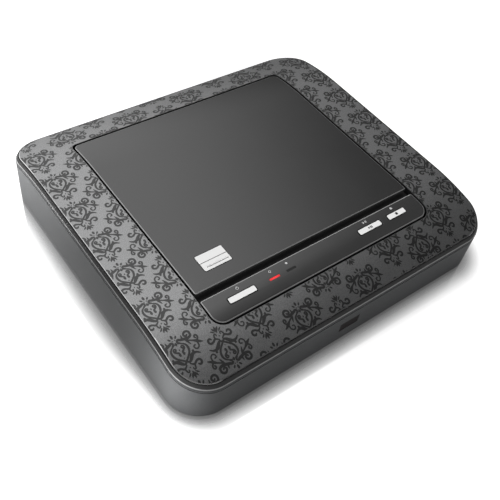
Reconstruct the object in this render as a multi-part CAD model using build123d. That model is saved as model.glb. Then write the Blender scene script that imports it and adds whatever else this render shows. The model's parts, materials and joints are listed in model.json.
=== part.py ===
# A small top-loading disc player.
# A low, nearly square case has a crowned top with an inlaid metal plate. A glossy lid,
# hinged at the rear, covers the disc well, and a control bar with three buttons lies in
# front of it. Under the lid a sprung mechanism carries the turntable and the pickup sled.
# Millimetres. +Z is up, the front faces -Y, and the origin lies on the table under the
# middle of the case.
import math
import os

from build123d import *

os.makedirs("parts", exist_ok=True)

# Case and its crowned top
case_half_x = 123.6
case_half_y = 112.6
case_corner = 23.0
foot_height = 1.2
case_top = 42.4
crown_flat = 54.5
crown_radius = 169.0
wall = 2.2
floor_thick = 2.2
bottom_round = 1.0

# Cover: a bevelled border with a bead, the seat of the plate, and a skirt inside the case
cover_skin = 1.8
cover_wall = 1.6
border_drop = 4.5
border_lip = 0.15
bevel_in = 2.0
bevel_down = 3.1
bead_height = 0.95
bead_groove = 0.4
bead_groove_in = 0.7
parting_gap = 0.5
lap_clearance = 0.15
lap_length = 3.0

# Inlaid plate
plate_half_x = 121.0
plate_half_y = 110.0
plate_corner = 19.7
plate_thick = 0.8
plate_gap = 0.35

# Lid
lid_half_x = 86.6
lid_front = -60.7
lid_rear = 86.0
lid_gap = 1.3
lid_skin = 1.8
lid_inner_thick = 2.4
lid_inner_inset = 2.2
lid_front_corner = 1.5
lid_rear_corner = 4.3
lid_edge_round = 0.5
lid_open_angle = 65.0

# Control bar
bar_half_x = 86.8
bar_front = -84.0
bar_rear = -65.4
bar_gap = 0.9
bar_front_corner = 7.5
bar_rear_corner = 1.5
bar_skin = 2.2
bar_wall = 1.4
bar_edge_round = 0.8

# Buttons of the bar: name, middle in X and length in X
button_y = -73.9
button_depth = 3.6
buttons = (("power", -62.4, 19.2), ("play", 40.2, 19.0), ("stop", 64.5, 15.4))
button_proud = 0.25
button_gap = 0.3
button_travel = 0.5
button_flange = 1.2
button_flange_thick = 1.0
button_stem_radius = 1.5
press_gap = 0.65

# Indicator lights in the bar
light_y = -73.9
light_width = 1.3
standby_x = -38.5
standby_length = 7.6
on_x = -25.6
on_length = 7.0
light_flange = 1.0
light_flange_thick = 2.0

# Opening pad on the lid
pad_x = -62.2
pad_y = -43.7
pad_length = 19.4
pad_depth = 12.3
pad_corner = 1.2
pad_gap = 0.3
pad_proud = 0.3
pad_travel = 0.6
pad_flange = 1.0
pad_flange_thick = 0.8
pad_floor = 0.6

# Deck and disc well
deck_gap = 1.0
deck_thick = 1.8
deck_clearance = 0.25
ledge_width = 3.0
ledge_thick = 1.6
well_y = 11.5
well_radius = 62.0
well_wall = 1.6
well_floor_top = 31.2
scoop_radius = 13.0
scoop_x = 60.0

# Hinge of the lid
hinge_inset = 3.4
hinge_drop = 3.1
pin_radius = 1.0
pin_clearance = 0.06
pin_head = 0.8
hinge_x = 60.5
knuckle_width = 8.0
knuckle_radius = 2.1
lug_thick = 2.6
lug_gap = 0.35
lug_foot = 1.8
hinge_swing_gap = 0.4
trough_front = 77.6
trough_depth = 4.8
trough_wall = 1.4
trough_rim_drop = 3.2

# Latch
latch_y = -57.4
tongue_width = 8.0
tongue_thick = 1.6
tongue_reach = 6.0
latch_gap = 0.9
latch_width = 18.0
latch_depth = 8.0
latch_height = 11.0

# Disc, turntable and motor
disc_gap = 2.0
hub_radius = 14.0
hub_flange = 1.3
mat_thick = 0.6
mat_inner = 9.6
nose_radius = 7.35
nose_height = 2.8
ball_radius = 1.0
ball_proud = 0.25
shaft_radius = 1.0
running_gap = 0.05
motor_radius = 13.0
motor_height = 5.4
motor_boss = 5.0
hub_hole_radius = 17.0

# Mechanism plate on rubber bobbins
mech_top = 23.4
mech_thick = 1.2
mech_left = -26.0
mech_right = 86.0
mech_front = -50.0
mech_rear = 34.0
bobbins = ((-20.0, 28.0), (-20.0, -44.0), (80.0, 28.6), (80.0, -44.0))
bobbin_radius = 4.5
bobbin_waist = 3.0
bobbin_flange = 1.6
screw_radius = 1.3
screw_head_radius = 2.8
screw_head_thick = 1.6

# Pickup sled, rods and drive
travel = 35.0
lens_start = 23.0
sled_inner = 15.0
sled_length = 26.0
sled_half_y = 24.6
sled_bottom = 25.2
sled_top = 28.8
rod_radius = 1.5
rod_y = 20.5
rod_z = 26.6
rod_start = 6.0
rod_end = 82.0
clamp_length = 4.0
clamp_half = 3.2
clamp_wall = 1.0
tower_radius = 7.0
lens_radius = 3.2
lens_gap = 1.4
slot_half = 12.0
gear_module = 0.8
rack_teeth = 18
rack_y = -27.2
rack_z = 25.4
rack_height = 1.9
small_teeth = 14
large_teeth = 36
pinion_teeth = 10
gear_backlash = 0.16
large_gear_z = 23.8
large_gear_thick = 1.2
gear_x = 41.5
stud_radius = 1.5
sled_motor_radius = 7.5
sled_motor_length = 11.0

# Boards
main_board_length = 100.0
main_board_depth = 126.0
main_board_past_bay = 3.0
power_board_length = 82.0
power_board_depth = 70.0
power_board_past_inlet = 16.0
power_board_gap = 2.4
board_post_inset = 5.0
board_thick = 1.6
board_top = 10.0
bar_board_top = 31.0
bar_board_inset = 4.8
switch_size = 6.0
switch_height = 3.5
plunger_radius = 1.7
plunger_height = 0.9

# Sockets at the rear
bay_left = -97.0
bay_right = -17.0
bay_low = 6.2
bay_depth = 9.0
bay_wall = 1.6
jack_count = 6
jack_pitch = 13.0
jack_radius = 4.15
jack_bore = 1.7
jack_hole_gap = 0.3
jack_short = 0.8
jack_depth = 1.0
jack_block_depth = 12.0
jack_block_width = 12.4
inlet_x = 82.0
inlet_length = 21.0
inlet_height = 13.0
inlet_cavity_length = 15.6
inlet_cavity_height = 8.6
inlet_cavity_depth = 11.0
inlet_body_depth = 16.0
inlet_pin_radius = 1.2
inlet_pin_pitch = 8.6
inlet_recess = 0.2

# Infrared window in the front wall
window_x = -4.8
window_raise = 1.6
window_length = 15.5
window_height = 7.5
window_gap = 0.15
window_flange = 1.5

# Fixings
posts = ((-104.5, -91.0), (104.5, -91.0), (-104.5, 0.0), (104.5, 0.0), (-104.5, 91.0), (104.5, 91.0))
post_radius = 4.2
post_top = 26.0
foot_radius = 6.5
foot_recess = 0.8
feet = ((-98.0, -78.0), (98.0, -78.0), (-98.0, 78.0), (98.0, 78.0))

# Worked out from the values above
floor_top = foot_height + floor_thick
opening_half_x = lid_half_x + lid_gap
opening_front = bar_front - bar_gap
opening_rear = lid_rear + lid_gap
lid_thick = lid_skin + lid_inner_thick
deck_depth = lid_thick + deck_gap
ledge_depth = deck_depth + deck_thick
deck_front = bar_rear + bar_gap
well_floor_bottom = well_floor_top - deck_thick
seat_z = well_floor_top + disc_gap
reach = 40.0
bay_floor_y = case_half_y - bay_depth
jack_back = bay_floor_y - bay_wall
inlet_face = case_half_y - inlet_recess
main_board_left = bay_left - main_board_past_bay
main_board_rear = jack_back - jack_block_depth / 2
power_board_right = inlet_x + power_board_past_inlet
power_board_rear = inlet_face - inlet_body_depth - power_board_gap


def crown_drop(y):
    """How far the top has fallen at y, below the flat middle."""
    over = max(0.0, abs(y) - crown_flat)
    return crown_radius - math.sqrt(crown_radius**2 - over**2)


hinge_y = lid_rear - hinge_inset
hinge_z = case_top - crown_drop(lid_rear) - hinge_drop
trough_floor = hinge_z - trough_depth
skirt_low = case_top - crown_drop(case_half_y) - border_drop - lap_length
inlet_z = (floor_top + skirt_low) / 2
window_z = inlet_z + window_raise
bay_high = skirt_low - bay_wall
jack_z = (bay_low + bay_high) / 2


def crown_edges(depth, back):
    """The crown's profile `depth` under the top, in Y and Z, out to `back` at each end."""
    radius = crown_radius - depth
    middle_z = case_top - crown_radius
    swing = math.asin((back - crown_flat) / radius)

    def on_arc(angle, side):
        return (side * (crown_flat + radius * math.sin(angle)), middle_z + radius * math.cos(angle))

    rear = ThreePointArc(on_arc(swing, 1), on_arc(swing / 2, 1), on_arc(0, 1))
    flat = Line(on_arc(0, 1), on_arc(0, -1))
    front = ThreePointArc(on_arc(0, -1), on_arc(swing / 2, -1), on_arc(swing, -1))
    return [rear, flat, front], on_arc(swing, 1), on_arc(swing, -1)


def crown_slab(top_depth, bottom_depth):
    """Everything between two depths under the crowned top."""
    back = case_half_y + 10
    upper, upper_rear, upper_front = crown_edges(top_depth, back)
    lower, lower_rear, lower_front = crown_edges(bottom_depth, back)
    ends = [Line(upper_rear, lower_rear), Line(upper_front, lower_front)]
    profile = make_face(upper + lower + ends)
    return extrude(Plane.YZ * profile, amount=case_half_x + 10, both=True)


def column(sketch, low, high):
    """A straight column over a sketch, between two heights."""
    return extrude(Pos(0, 0, low) * sketch, amount=high - low)


def layer(sketch, top_depth, bottom_depth):
    """The column over a sketch, between two depths under the crowned top."""
    return column(sketch, -reach, case_top + reach) & crown_slab(top_depth, bottom_depth)


def below_crown(sketch, low, depth):
    """The column over a sketch, from a height up to a depth under the crowned top."""
    return column(sketch, low, case_top + reach) & crown_slab(depth, case_top + reach)


def case_outline(inset):
    corner = max(case_corner - inset, 2.0)
    return RectangleRounded(2 * (case_half_x - inset), 2 * (case_half_y - inset), corner)


def plate_outline(grow):
    return RectangleRounded(2 * (plate_half_x + grow), 2 * (plate_half_y + grow), plate_corner + grow)


def two_radius_outline(half_x, front, rear, front_corner, rear_corner):
    """A rectangle with one corner radius at the front and another at the rear."""
    sketch = Pos(0, (front + rear) / 2) * Rectangle(2 * half_x, rear - front)
    sketch = fillet(sketch.vertices().group_by(Axis.Y)[0], front_corner)
    return fillet(sketch.vertices().group_by(Axis.Y)[-1], rear_corner)


def opening_outline(grow):
    return two_radius_outline(
        opening_half_x + grow,
        opening_front - grow,
        opening_rear + grow,
        bar_front_corner + bar_gap + grow,
        lid_rear_corner + grow,
    )


def lid_outline(inset):
    return two_radius_outline(
        lid_half_x - inset,
        lid_front + inset,
        lid_rear - inset,
        max(lid_front_corner - inset, 0.5),
        max(lid_rear_corner - inset, 0.5),
    )


def bar_outline(inset):
    return two_radius_outline(
        bar_half_x - inset,
        bar_front + inset,
        bar_rear - inset,
        max(bar_front_corner - inset, 0.5),
        max(bar_rear_corner - inset, 0.5),
    )


def block(x0, x1, y0, y1, z0, z1):
    """A box between two corners."""
    return Pos((x0 + x1) / 2, (y0 + y1) / 2, (z0 + z1) / 2) * Box(x1 - x0, y1 - y0, z1 - z0)


def post(x, y, radius, low, high):
    """An upright cylinder."""
    return Pos(x, y, (low + high) / 2) * Cylinder(radius, high - low)


def bar_x(y, z, radius, x0, x1):
    """A cylinder along X."""
    return Pos((x0 + x1) / 2, y, z) * Rot(0, 90, 0) * Cylinder(radius, x1 - x0)


def bar_y(x, z, radius, y0, y1):
    """A cylinder along Y."""
    return Pos(x, (y0 + y1) / 2, z) * Rot(90, 0, 0) * Cylinder(radius, y1 - y0)


def rounded_at(x, y, length, width, corner):
    return Pos(x, y) * RectangleRounded(length, width, corner)


def outer_top_edges(solid, depth):
    """The edges round the outside of a crowned top, without the seams across it."""
    found = []
    for edge in solid.edges():
        middle = edge @ 0.5
        on_top = abs(case_top - depth - crown_drop(middle.Y) - middle.Z) < 0.2
        seam = abs(abs(middle.Y) - crown_flat) < 0.5 and abs(middle.X) < 1.0
        if on_top and not seam:
            found.append(edge)
    return found


# Base housing
def base_housing():
    outer = below_crown(case_outline(0), foot_height, border_drop + parting_gap)
    lowest = outer.faces().sort_by(Axis.Z)[0]
    outer = chamfer(lowest.edges(), bottom_round)
    body = outer - column(case_outline(wall), floor_top, case_top + reach)
    for x, y in posts:
        body += post(x, y, post_radius, floor_top - 1, post_top)
    for x, y in board_posts():
        body += block(x - 2.5, x + 2.5, y - 2.5, y + 2.5, floor_top - 1, board_top - board_thick)
    body += bay_walls()
    body += block(window_x - 11, window_x + 11, ir_board_y() - 2.2, ir_board_y() + 2.2, floor_top - 1, floor_top + 3)
    body -= block(window_x - 9, window_x + 9, ir_board_y() - 0.9, ir_board_y() + 0.9, floor_top, floor_top + 4)
    for x, y in posts:
        body -= post(x, y, screw_head_radius + 0.4, 0, floor_top + 6)
        body -= post(x, y, screw_radius + 0.2, 0, post_top + 1)
    for x, y in feet:
        body -= post(x, y, foot_radius + 0.1, 0, foot_height + foot_recess)
    for x in range(9):
        for middle_x, middle_y in ((-60, 40), (62, 55)):
            slot_x = middle_x + (x - 4) * 5.2
            body -= block(slot_x - 1.2, slot_x + 1.2, middle_y - 17, middle_y + 17, 0, floor_top + 1)
    body -= block(
        window_x - window_length / 2 - window_gap,
        window_x + window_length / 2 + window_gap,
        -case_half_y - 1,
        -case_half_y + wall + 0.5,
        window_z - window_height / 2 - window_gap,
        window_z + window_height / 2 + window_gap,
    )
    body -= block(bay_left, bay_right, bay_floor_y, case_half_y + 1, bay_low, bay_high)
    for x in jack_places():
        body -= bar_y(x, jack_z, jack_radius + jack_hole_gap, bay_floor_y - bay_wall - 1, case_half_y)
    body -= block(
        inlet_x - inlet_length / 2 - window_gap,
        inlet_x + inlet_length / 2 + window_gap,
        case_half_y - wall - 1,
        case_half_y + 1,
        inlet_z - inlet_height / 2 - window_gap,
        inlet_z + inlet_height / 2 + window_gap,
    )
    return body


def bay_walls():
    return block(
        bay_left - bay_wall,
        bay_right + bay_wall,
        bay_floor_y - bay_wall,
        case_half_y - wall / 2,
        bay_low - bay_wall,
        bay_high + bay_wall,
    )


def jack_places():
    middle = (bay_left + bay_right) / 2
    return [middle + (i - (jack_count - 1) / 2) * jack_pitch for i in range(jack_count)]


def board_posts():
    """The posts under the corners of the two boards."""
    inset = board_post_inset
    places = []
    for left, rear, length, depth in (
        (main_board_left, main_board_rear, main_board_length, main_board_depth),
        (power_board_right - power_board_length, power_board_rear, power_board_length, power_board_depth),
    ):
        for x in (left + inset, left + length - inset):
            for y in (rear - depth + inset, rear - inset):
                places.append((x, y))
    return places


def ir_board_y():
    return -case_half_y + wall + window_flange + 7.0


# Top cover
def top_cover():
    body = layer(case_outline(0), border_lip, border_drop)
    body = chamfer(outer_top_edges(body, border_lip), bevel_in, bevel_down)
    groove = case_outline(-1) - case_outline(bead_groove_in)
    groove_bottom = border_drop - bead_height
    body -= layer(groove, groove_bottom - bead_groove, groove_bottom)
    body -= layer(plate_outline(plate_gap), -2, plate_thick)
    skirt_out = wall + lap_clearance
    skirt_in = skirt_out + cover_wall
    body -= layer(case_outline(skirt_in), plate_thick + cover_skin, reach)
    skirt = case_outline(skirt_out) - case_outline(skirt_in)
    body += layer(skirt, border_drop - 0.5, border_drop + lap_length)
    body -= column(opening_outline(0), 0, case_top + reach)
    recess = opening_outline(cover_wall) - opening_outline(0)
    body += layer(recess, plate_thick + 0.2, ledge_depth + ledge_thick)
    shelf = opening_outline(0) - opening_outline(-ledge_width)
    shelf -= block_sketch(-case_half_x, case_half_x, trough_front - 3, case_half_y)
    body += layer(shelf, ledge_depth, ledge_depth + ledge_thick)
    for x, y in posts:
        body += below_crown(Pos(x, y) * Circle(post_radius), post_top, plate_thick + 0.5)
        body -= post(x, y, screw_radius + 0.03, post_top - 1, post_top + 8)
    return body


def block_sketch(x0, x1, y0, y1):
    return Pos((x0 + x1) / 2, (y0 + y1) / 2) * Rectangle(x1 - x0, y1 - y0)


# Inlaid plate
def decor_plate():
    return layer(plate_outline(0), 0, plate_thick) - column(opening_outline(0), 0, case_top + reach)


# Disc well with its deck, hinge trough and lugs
def deck_outline():
    whole = opening_outline(-deck_clearance)
    return whole - block_sketch(-case_half_x, case_half_x, -case_half_y, deck_front)


def well_sketch(grow):
    sketch = Pos(0, well_y) * Circle(well_radius + grow)
    for side in (-1, 1):
        sketch += Pos(side * scoop_x, well_y) * Circle(scoop_radius + grow)
    return sketch


def lug_places():
    offset = knuckle_width / 2 + lug_gap + lug_thick / 2
    return [side * hinge_x + step * offset for side in (-1, 1) for step in (-1, 1)]


def hinge_slice(half_width, radius, foot_half, foot_low):
    """A round ear on the hinge axis with a foot below it, at X = 0."""
    ear = bar_x(hinge_y, hinge_z, radius, -half_width, half_width)
    foot = block(-half_width, half_width, hinge_y - foot_half, hinge_y + foot_half, foot_low, hinge_z)
    return ear + foot


def disc_well():
    ledge = opening_half_x - deck_clearance
    rear = opening_rear - deck_clearance
    body = layer(deck_outline(), deck_depth, ledge_depth)
    body -= block(-200, 200, trough_front, 200, 0, 100)
    trough_low = trough_floor - trough_wall
    body += below_crown(
        block_sketch(-ledge, ledge, trough_front - trough_wall, rear), trough_low, deck_depth
    ) & column(opening_outline(-deck_clearance), 0, 100)
    body -= block(
        -ledge + trough_wall, ledge - trough_wall, trough_front, rear - trough_wall, trough_floor, 100
    )
    body += below_crown(well_sketch(well_wall), well_floor_bottom, deck_depth + 0.3)
    for x, y in bobbins:
        body += below_crown(
            Pos(x, y + well_y) * Circle(bobbin_radius), mech_top + bobbin_flange, deck_depth + 0.5
        )
    body -= column(well_sketch(0), well_floor_top, case_top + reach)
    body -= post(0, well_y, hub_hole_radius, 0, case_top)
    slot_end = lens_start + travel + tower_radius + 3
    slot = rounded_at(slot_end / 2, well_y, slot_end, 2 * slot_half, 3.0)
    body -= column(slot, 0, case_top)
    for x, y in bobbins:
        body -= post(x, y + well_y, screw_radius + 0.03, mech_top, well_floor_bottom)
    for x in lug_places():
        lug = hinge_slice(lug_thick / 2, knuckle_radius, lug_foot, trough_floor - trough_wall / 2)
        body += Pos(x, 0, 0) * lug
    body -= block(-200, 200, rear - trough_wall, 200, hinge_z - trough_rim_drop, 100)
    body -= bar_x(hinge_y, hinge_z, pin_radius + 0.02, -hinge_x - 12, hinge_x + 12)
    body -= block(
        -tongue_width / 2 - latch_gap,
        tongue_width / 2 + latch_gap,
        latch_y - tongue_thick / 2 - latch_gap,
        latch_y + tongue_thick / 2 + latch_gap,
        0,
        case_top,
    )
    return body


# Hinge pins
def hinge_pins():
    pins = []
    for side in (-1, 1):
        pin = bar_x(hinge_y, hinge_z, pin_radius, -hinge_half(), hinge_half())
        pin += bar_x(hinge_y, hinge_z, pin_radius + 0.7, hinge_half(), hinge_half() + pin_head)
        pins.append(Pos(side * hinge_x, 0, 0) * pin)
    return pins[0] + pins[1]


def hinge_half():
    """From the middle of a hinge to the outer face of its lugs."""
    return knuckle_width / 2 + lug_gap + lug_thick


# Latch that the tongue of the lid enters
def latch_unit():
    top = case_top - ledge_depth - crown_drop(latch_y - latch_depth / 2)
    body = block(-latch_width / 2, latch_width / 2, latch_y - latch_depth / 2, latch_y + latch_depth / 2,
                 top - latch_height, top - 0.05)
    body -= block(
        -tongue_width / 2 - latch_gap,
        tongue_width / 2 + latch_gap,
        latch_y - tongue_thick / 2 - latch_gap,
        latch_y + tongue_thick / 2 + latch_gap,
        top - latch_height + 1.5,
        top + 1,
    )
    return body


# Lid: glossy panel and inner moulding
def hinge_pocket(radius):
    """The space kept round both hinges, out to the far lugs."""
    half = hinge_half() + pin_head + lug_gap
    pocket = bar_x(hinge_y, hinge_z, radius, -half, half)
    return Pos(-hinge_x, 0, 0) * pocket + Pos(hinge_x, 0, 0) * pocket


def lug_space():
    """The space in the inner moulding that the lugs sweep while the lid opens."""
    space = None
    near = knuckle_width / 2
    far = hinge_half() + pin_head + lug_gap
    radius = knuckle_radius + hinge_swing_gap
    for side in (-1, 1):
        for x0, x1 in ((-far, -near), (near, far)):
            ear = bar_x(hinge_y, hinge_z, radius, x0, x1)
            foot = block(x0, x1, hinge_y - radius, lid_rear + 1, 20, hinge_z)
            one = Pos(side * hinge_x, 0, 0) * (ear + foot)
            space = one if space is None else space + one
    return space


def lid_panel():
    body = layer(lid_outline(0), 0, lid_skin)
    body = fillet(outer_top_edges(body, 0), lid_edge_round)
    body -= hinge_pocket(knuckle_radius + hinge_swing_gap)
    hole = rounded_at(pad_x, pad_y, pad_length + 2 * pad_gap, pad_depth + 2 * pad_gap, pad_corner + pad_gap)
    return body - column(hole, 0, 100)


def lid_inner():
    body = layer(lid_outline(lid_inner_inset), lid_skin, lid_thick)
    rim = lid_outline(lid_inner_inset) - lid_outline(lid_inner_inset + 1.6)
    rim -= block_sketch(-case_half_x, case_half_x, trough_front - 4, case_half_y)
    body += layer(rim, lid_thick - 0.5, lid_thick + 0.5)
    for radius in (19.6, 58.0):
        ring = Pos(0, well_y) * (Circle(radius) - Circle(radius - 1.6))
        body += layer(ring, lid_thick - 0.5, lid_thick + 1.2)
    for x in (-40.0, 0.0, 40.0):
        rib = block_sketch(x - 0.8, x + 0.8, well_y - 40, well_y - 22)
        body += layer(rib, lid_thick - 0.5, lid_thick + 0.9)
    body -= lug_space()
    for side in (-1, 1):
        half = knuckle_width / 2
        knuckle = bar_x(hinge_y, hinge_z, knuckle_radius, -half, half)
        web = layer(block_sketch(-half, half, hinge_y - 7, hinge_y), lid_skin, lid_thick)
        body += Pos(side * hinge_x, 0, 0) * (knuckle + web)
        bore = bar_x(hinge_y, hinge_z, pin_radius + pin_clearance, -half - 1, half + 1)
        body -= Pos(side * hinge_x, 0, 0) * bore
    tongue_top = case_top - lid_skin - 1.0
    tongue_low = case_top - lid_thick - tongue_reach
    body += block(-tongue_width / 2, tongue_width / 2, latch_y - tongue_thick / 2, latch_y + tongue_thick / 2,
                  tongue_low, tongue_top)
    flange_x = pad_length + 2 * (pad_flange + pad_gap)
    flange_y = pad_depth + 2 * (pad_flange + pad_gap)
    pocket = rounded_at(pad_x, pad_y, flange_x, flange_y, pad_corner)
    body -= layer(pocket, lid_skin - 1, lid_thick - pad_floor)
    return body


# Opening pad
def open_button():
    cap = rounded_at(pad_x, pad_y, pad_length, pad_depth, pad_corner)
    body = layer(cap, -pad_proud, lid_skin + 0.3)
    body = chamfer(outer_top_edges(body, -pad_proud), 0.2)
    flange = rounded_at(pad_x, pad_y, pad_length + 2 * pad_flange, pad_depth + 2 * pad_flange, pad_corner)
    body += layer(flange, lid_skin + 0.15, lid_skin + 0.15 + pad_flange_thick)
    step = block_sketch(pad_x - pad_length, pad_x + pad_length, pad_y - 0.15, pad_y + 0.15)
    body -= layer(step, -2, 0.0)
    ridge = rounded_at(pad_x + 0.6, pad_y - 3.6, pad_length - 4, 0.5, 0.2)
    body += layer(ridge, -pad_proud - 0.3, 0.2)
    return body


# Control bar
def control_panel():
    body = layer(bar_outline(0), 0, ledge_depth)
    body = fillet(outer_top_edges(body, 0), bar_edge_round)
    body -= layer(bar_outline(bar_wall), bar_skin, reach)
    for name, x, length in buttons:
        hole = rounded_at(x, button_y, length + 2 * button_gap, button_depth + 2 * button_gap, 0.9)
        body -= column(hole, 0, 100)
    for x, length in ((standby_x, standby_length), (on_x, on_length)):
        body -= column(rounded_at(x, light_y, length + 0.1, light_width + 0.1, 0.4), 0, 100)
    for x in (-80.0, -8.0, 20.0, 80.0):
        body += below_crown(Pos(x, button_y) * Circle(2.2), bar_board_top, bar_skin - 0.5)
    return body


def bar_button(x, length):
    cap = rounded_at(x, button_y, length, button_depth, 0.7)
    body = layer(cap, -button_proud, bar_skin + 0.8)
    body = chamfer(outer_top_edges(body, -button_proud), 0.15)
    flange = rounded_at(x, button_y, length + 2 * button_flange, button_depth + 2 * button_flange, 0.7)
    flange_top = bar_skin + 0.35
    body += layer(flange, flange_top, flange_top + button_flange_thick)
    stem_low = bar_board_top + switch_height + plunger_height + press_gap
    body += below_crown(Pos(x, button_y) * Circle(button_stem_radius), stem_low, flange_top + 0.2)
    return body


def light_pipe(x, length):
    body = layer(rounded_at(x, light_y, length, light_width, 0.35), 0, bar_skin + 0.1)
    flange = rounded_at(x, light_y, length + 2 * light_flange, light_width + 2 * light_flange, 0.4)
    body += layer(flange, bar_skin, bar_skin + light_flange_thick)
    body += column(rounded_at(x, light_y, 3.4, 2.2, 0.3), bar_board_top + 3.2, case_top - 4)
    return body


def control_board():
    half = bar_half_x - bar_board_inset
    return block(-half, half, bar_front + 2.6, bar_rear - 1.2, bar_board_top - board_thick, bar_board_top)


def tact_switches():
    body = None
    for name, x, length in buttons:
        half = switch_size / 2
        switch = block(x - half, x + half, button_y - half, button_y + half,
                       bar_board_top, bar_board_top + switch_height)
        switch += post(x, button_y, plunger_radius, bar_board_top + switch_height,
                       bar_board_top + switch_height + plunger_height)
        body = switch if body is None else body + switch
    return body


def indicator_leds():
    body = None
    for x in (standby_x, on_x):
        led = block(x - 1.5, x + 1.5, light_y - 1.0, light_y + 1.0, bar_board_top, bar_board_top + 3.0)
        body = led if body is None else body + led
    return body


# Infrared window, its board and receiver
def ir_window():
    half = window_length / 2
    tall = window_height / 2
    front = -case_half_y
    body = block(window_x - half, window_x + half, front + 0.1, front + wall + 0.2,
                 window_z - tall, window_z + tall)
    inside = front + wall
    body += block(window_x - half - 1.5, window_x + half + 1.5, inside, inside + window_flange,
                  window_z - tall - 1.5, window_z + tall + 1.5)
    return body


def ir_board():
    return block(window_x - 8.8, window_x + 8.8, ir_board_y() - 0.8, ir_board_y() + 0.8, floor_top, floor_top + 19)


def ir_receiver():
    face = ir_board_y() - 0.8
    body = block(window_x - 3.5, window_x + 3.5, face - 3.6, face, window_z - 3.5, window_z + 3.5)
    dome = Pos(window_x, face - 3.6, window_z) * Sphere(2.4)
    return body + (dome & block(window_x - 5, window_x + 5, face - 9, face - 3.0, window_z - 5, window_z + 5))


# Gears: involute flanks from the base circle, drawn straight below it
def involute_angle(radius, base):
    """The angle that an involute turns through from its base circle out to a radius."""
    if radius <= base:
        return 0.0
    press = math.acos(base / radius)
    return math.tan(press) - press


def gear_sketch(teeth, tooth_at):
    """A spur gear outline with one tooth centred at the angle `tooth_at`, in degrees."""
    pitch = gear_module * teeth / 2
    base = pitch * math.cos(math.radians(20))
    root = pitch - 1.2 * gear_module
    tip = pitch + 0.92 * gear_module
    half_pitch = math.pi / (2 * teeth) - gear_backlash / (2 * pitch) + involute_angle(pitch, base)
    flank = [root, max(base, root + 0.05), (pitch + base) / 2, pitch, (pitch + tip) / 2, tip]
    points = []
    for tooth in range(teeth):
        middle = math.radians(tooth_at) + 2 * math.pi * tooth / teeth
        for radius in flank:
            angle = middle - (half_pitch - involute_angle(radius, base))
            points.append((radius * math.cos(angle), radius * math.sin(angle)))
        for radius in reversed(flank):
            angle = middle + (half_pitch - involute_angle(radius, base))
            points.append((radius * math.cos(angle), radius * math.sin(angle)))
    return make_face(Polyline(*points, close=True))


gear_pitch = math.pi * gear_module
small_pitch_radius = gear_module * small_teeth / 2
large_pitch_radius = gear_module * large_teeth / 2
pinion_pitch_radius = gear_module * pinion_teeth / 2
gear_y = rack_y - small_pitch_radius
pinion_x = gear_x - large_pitch_radius - pinion_pitch_radius
pinion_y = gear_y
rack_start = gear_x - travel - 4.0


def rack_tooth_places():
    return [rack_start + gear_pitch * (i + 0.5) for i in range(rack_teeth)]


def small_tooth_angle():
    """The angle that brings a tooth space of the small gear to a rack tooth."""
    nearest = min(rack_tooth_places(), key=lambda x: abs(x - gear_x))
    return 90 + math.degrees((gear_x - nearest) / small_pitch_radius) + 180 / small_teeth


def large_tooth_angle():
    """A tooth of the large gear points at the pinion."""
    return 180.0


def pinion_tooth_angle():
    """A tooth space of the pinion faces the large gear."""
    return 180.0 / pinion_teeth


def sled_rack():
    back = rack_y + 1.2 * gear_module
    body = block(rack_start, rack_start + gear_pitch * rack_teeth, back, -sled_half_y,
                 rack_z, rack_z + rack_height)
    slope = math.tan(math.radians(20))
    half = gear_pitch / 4 - gear_backlash / 4
    root_half = half + 1.2 * gear_module * slope
    tip_half = half - 0.92 * gear_module * slope
    for x in rack_tooth_places():
        tooth = make_face(
            Polyline(
                (x - root_half, back + 0.1),
                (x - root_half, back),
                (x - tip_half, rack_y - 0.92 * gear_module),
                (x + tip_half, rack_y - 0.92 * gear_module),
                (x + root_half, back),
                (x + root_half, back + 0.1),
                close=True,
            )
        )
        body += column(tooth, rack_z, rack_z + rack_height)
    return Pos(0, well_y, 0) * body


def idler_gear():
    body = column(gear_sketch(small_teeth, small_tooth_angle()), large_gear_z, rack_z + rack_height)
    body += column(gear_sketch(large_teeth, large_tooth_angle()), large_gear_z,
                   large_gear_z + large_gear_thick)
    body -= post(0, 0, stud_radius + running_gap, 0, 60)
    return Pos(gear_x, gear_y + well_y, 0) * body


def motor_pinion():
    body = column(gear_sketch(pinion_teeth, pinion_tooth_angle()), large_gear_z - 0.1,
                  large_gear_z + large_gear_thick + 0.3)
    body += post(0, 0, shaft_radius, mech_top - mech_thick - 5, large_gear_z + 1)
    return Pos(pinion_x, pinion_y + well_y, 0) * body


# Mechanism
def mech_plate():
    sketch = Pos((mech_left + mech_right) / 2, (mech_front + mech_rear) / 2) * RectangleRounded(
        mech_right - mech_left, mech_rear - mech_front, 5
    )
    for x, y in bobbins:
        sketch -= Pos(x, y) * Circle(bobbin_waist)
    sketch -= Circle(motor_boss + 0.2)
    sketch -= Pos(pinion_x, pinion_y) * Circle(shaft_radius + 1.0)
    window_end = lens_start + travel + 12
    sketch -= rounded_at((16 + window_end) / 2, 4, window_end - 16, 20, 3)
    body = column(sketch, mech_top - mech_thick, mech_top)
    body += block(mech_left + 8, mech_right - 8, mech_rear - 1.2, mech_rear, mech_top - 4, mech_top)
    body += block(mech_left + 8, mech_right - 8, mech_front, mech_front + 1.2, mech_top - 4, mech_top)
    body += post(gear_x, gear_y, stud_radius, mech_top - 0.5, rack_z + rack_height + 0.6)
    return Pos(0, well_y, 0) * body


def rubber_bobbins():
    body = None
    low = mech_top - mech_thick - bobbin_flange
    high = mech_top + bobbin_flange
    for x, y in bobbins:
        one = post(x, y, bobbin_waist - 0.02, low, high)
        one += post(x, y, bobbin_radius, low, mech_top - mech_thick)
        one += post(x, y, bobbin_radius, mech_top, high)
        one -= post(x, y, screw_radius + 0.05, 0, 60)
        body = one if body is None else body + one
    return Pos(0, well_y, 0) * body


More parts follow.
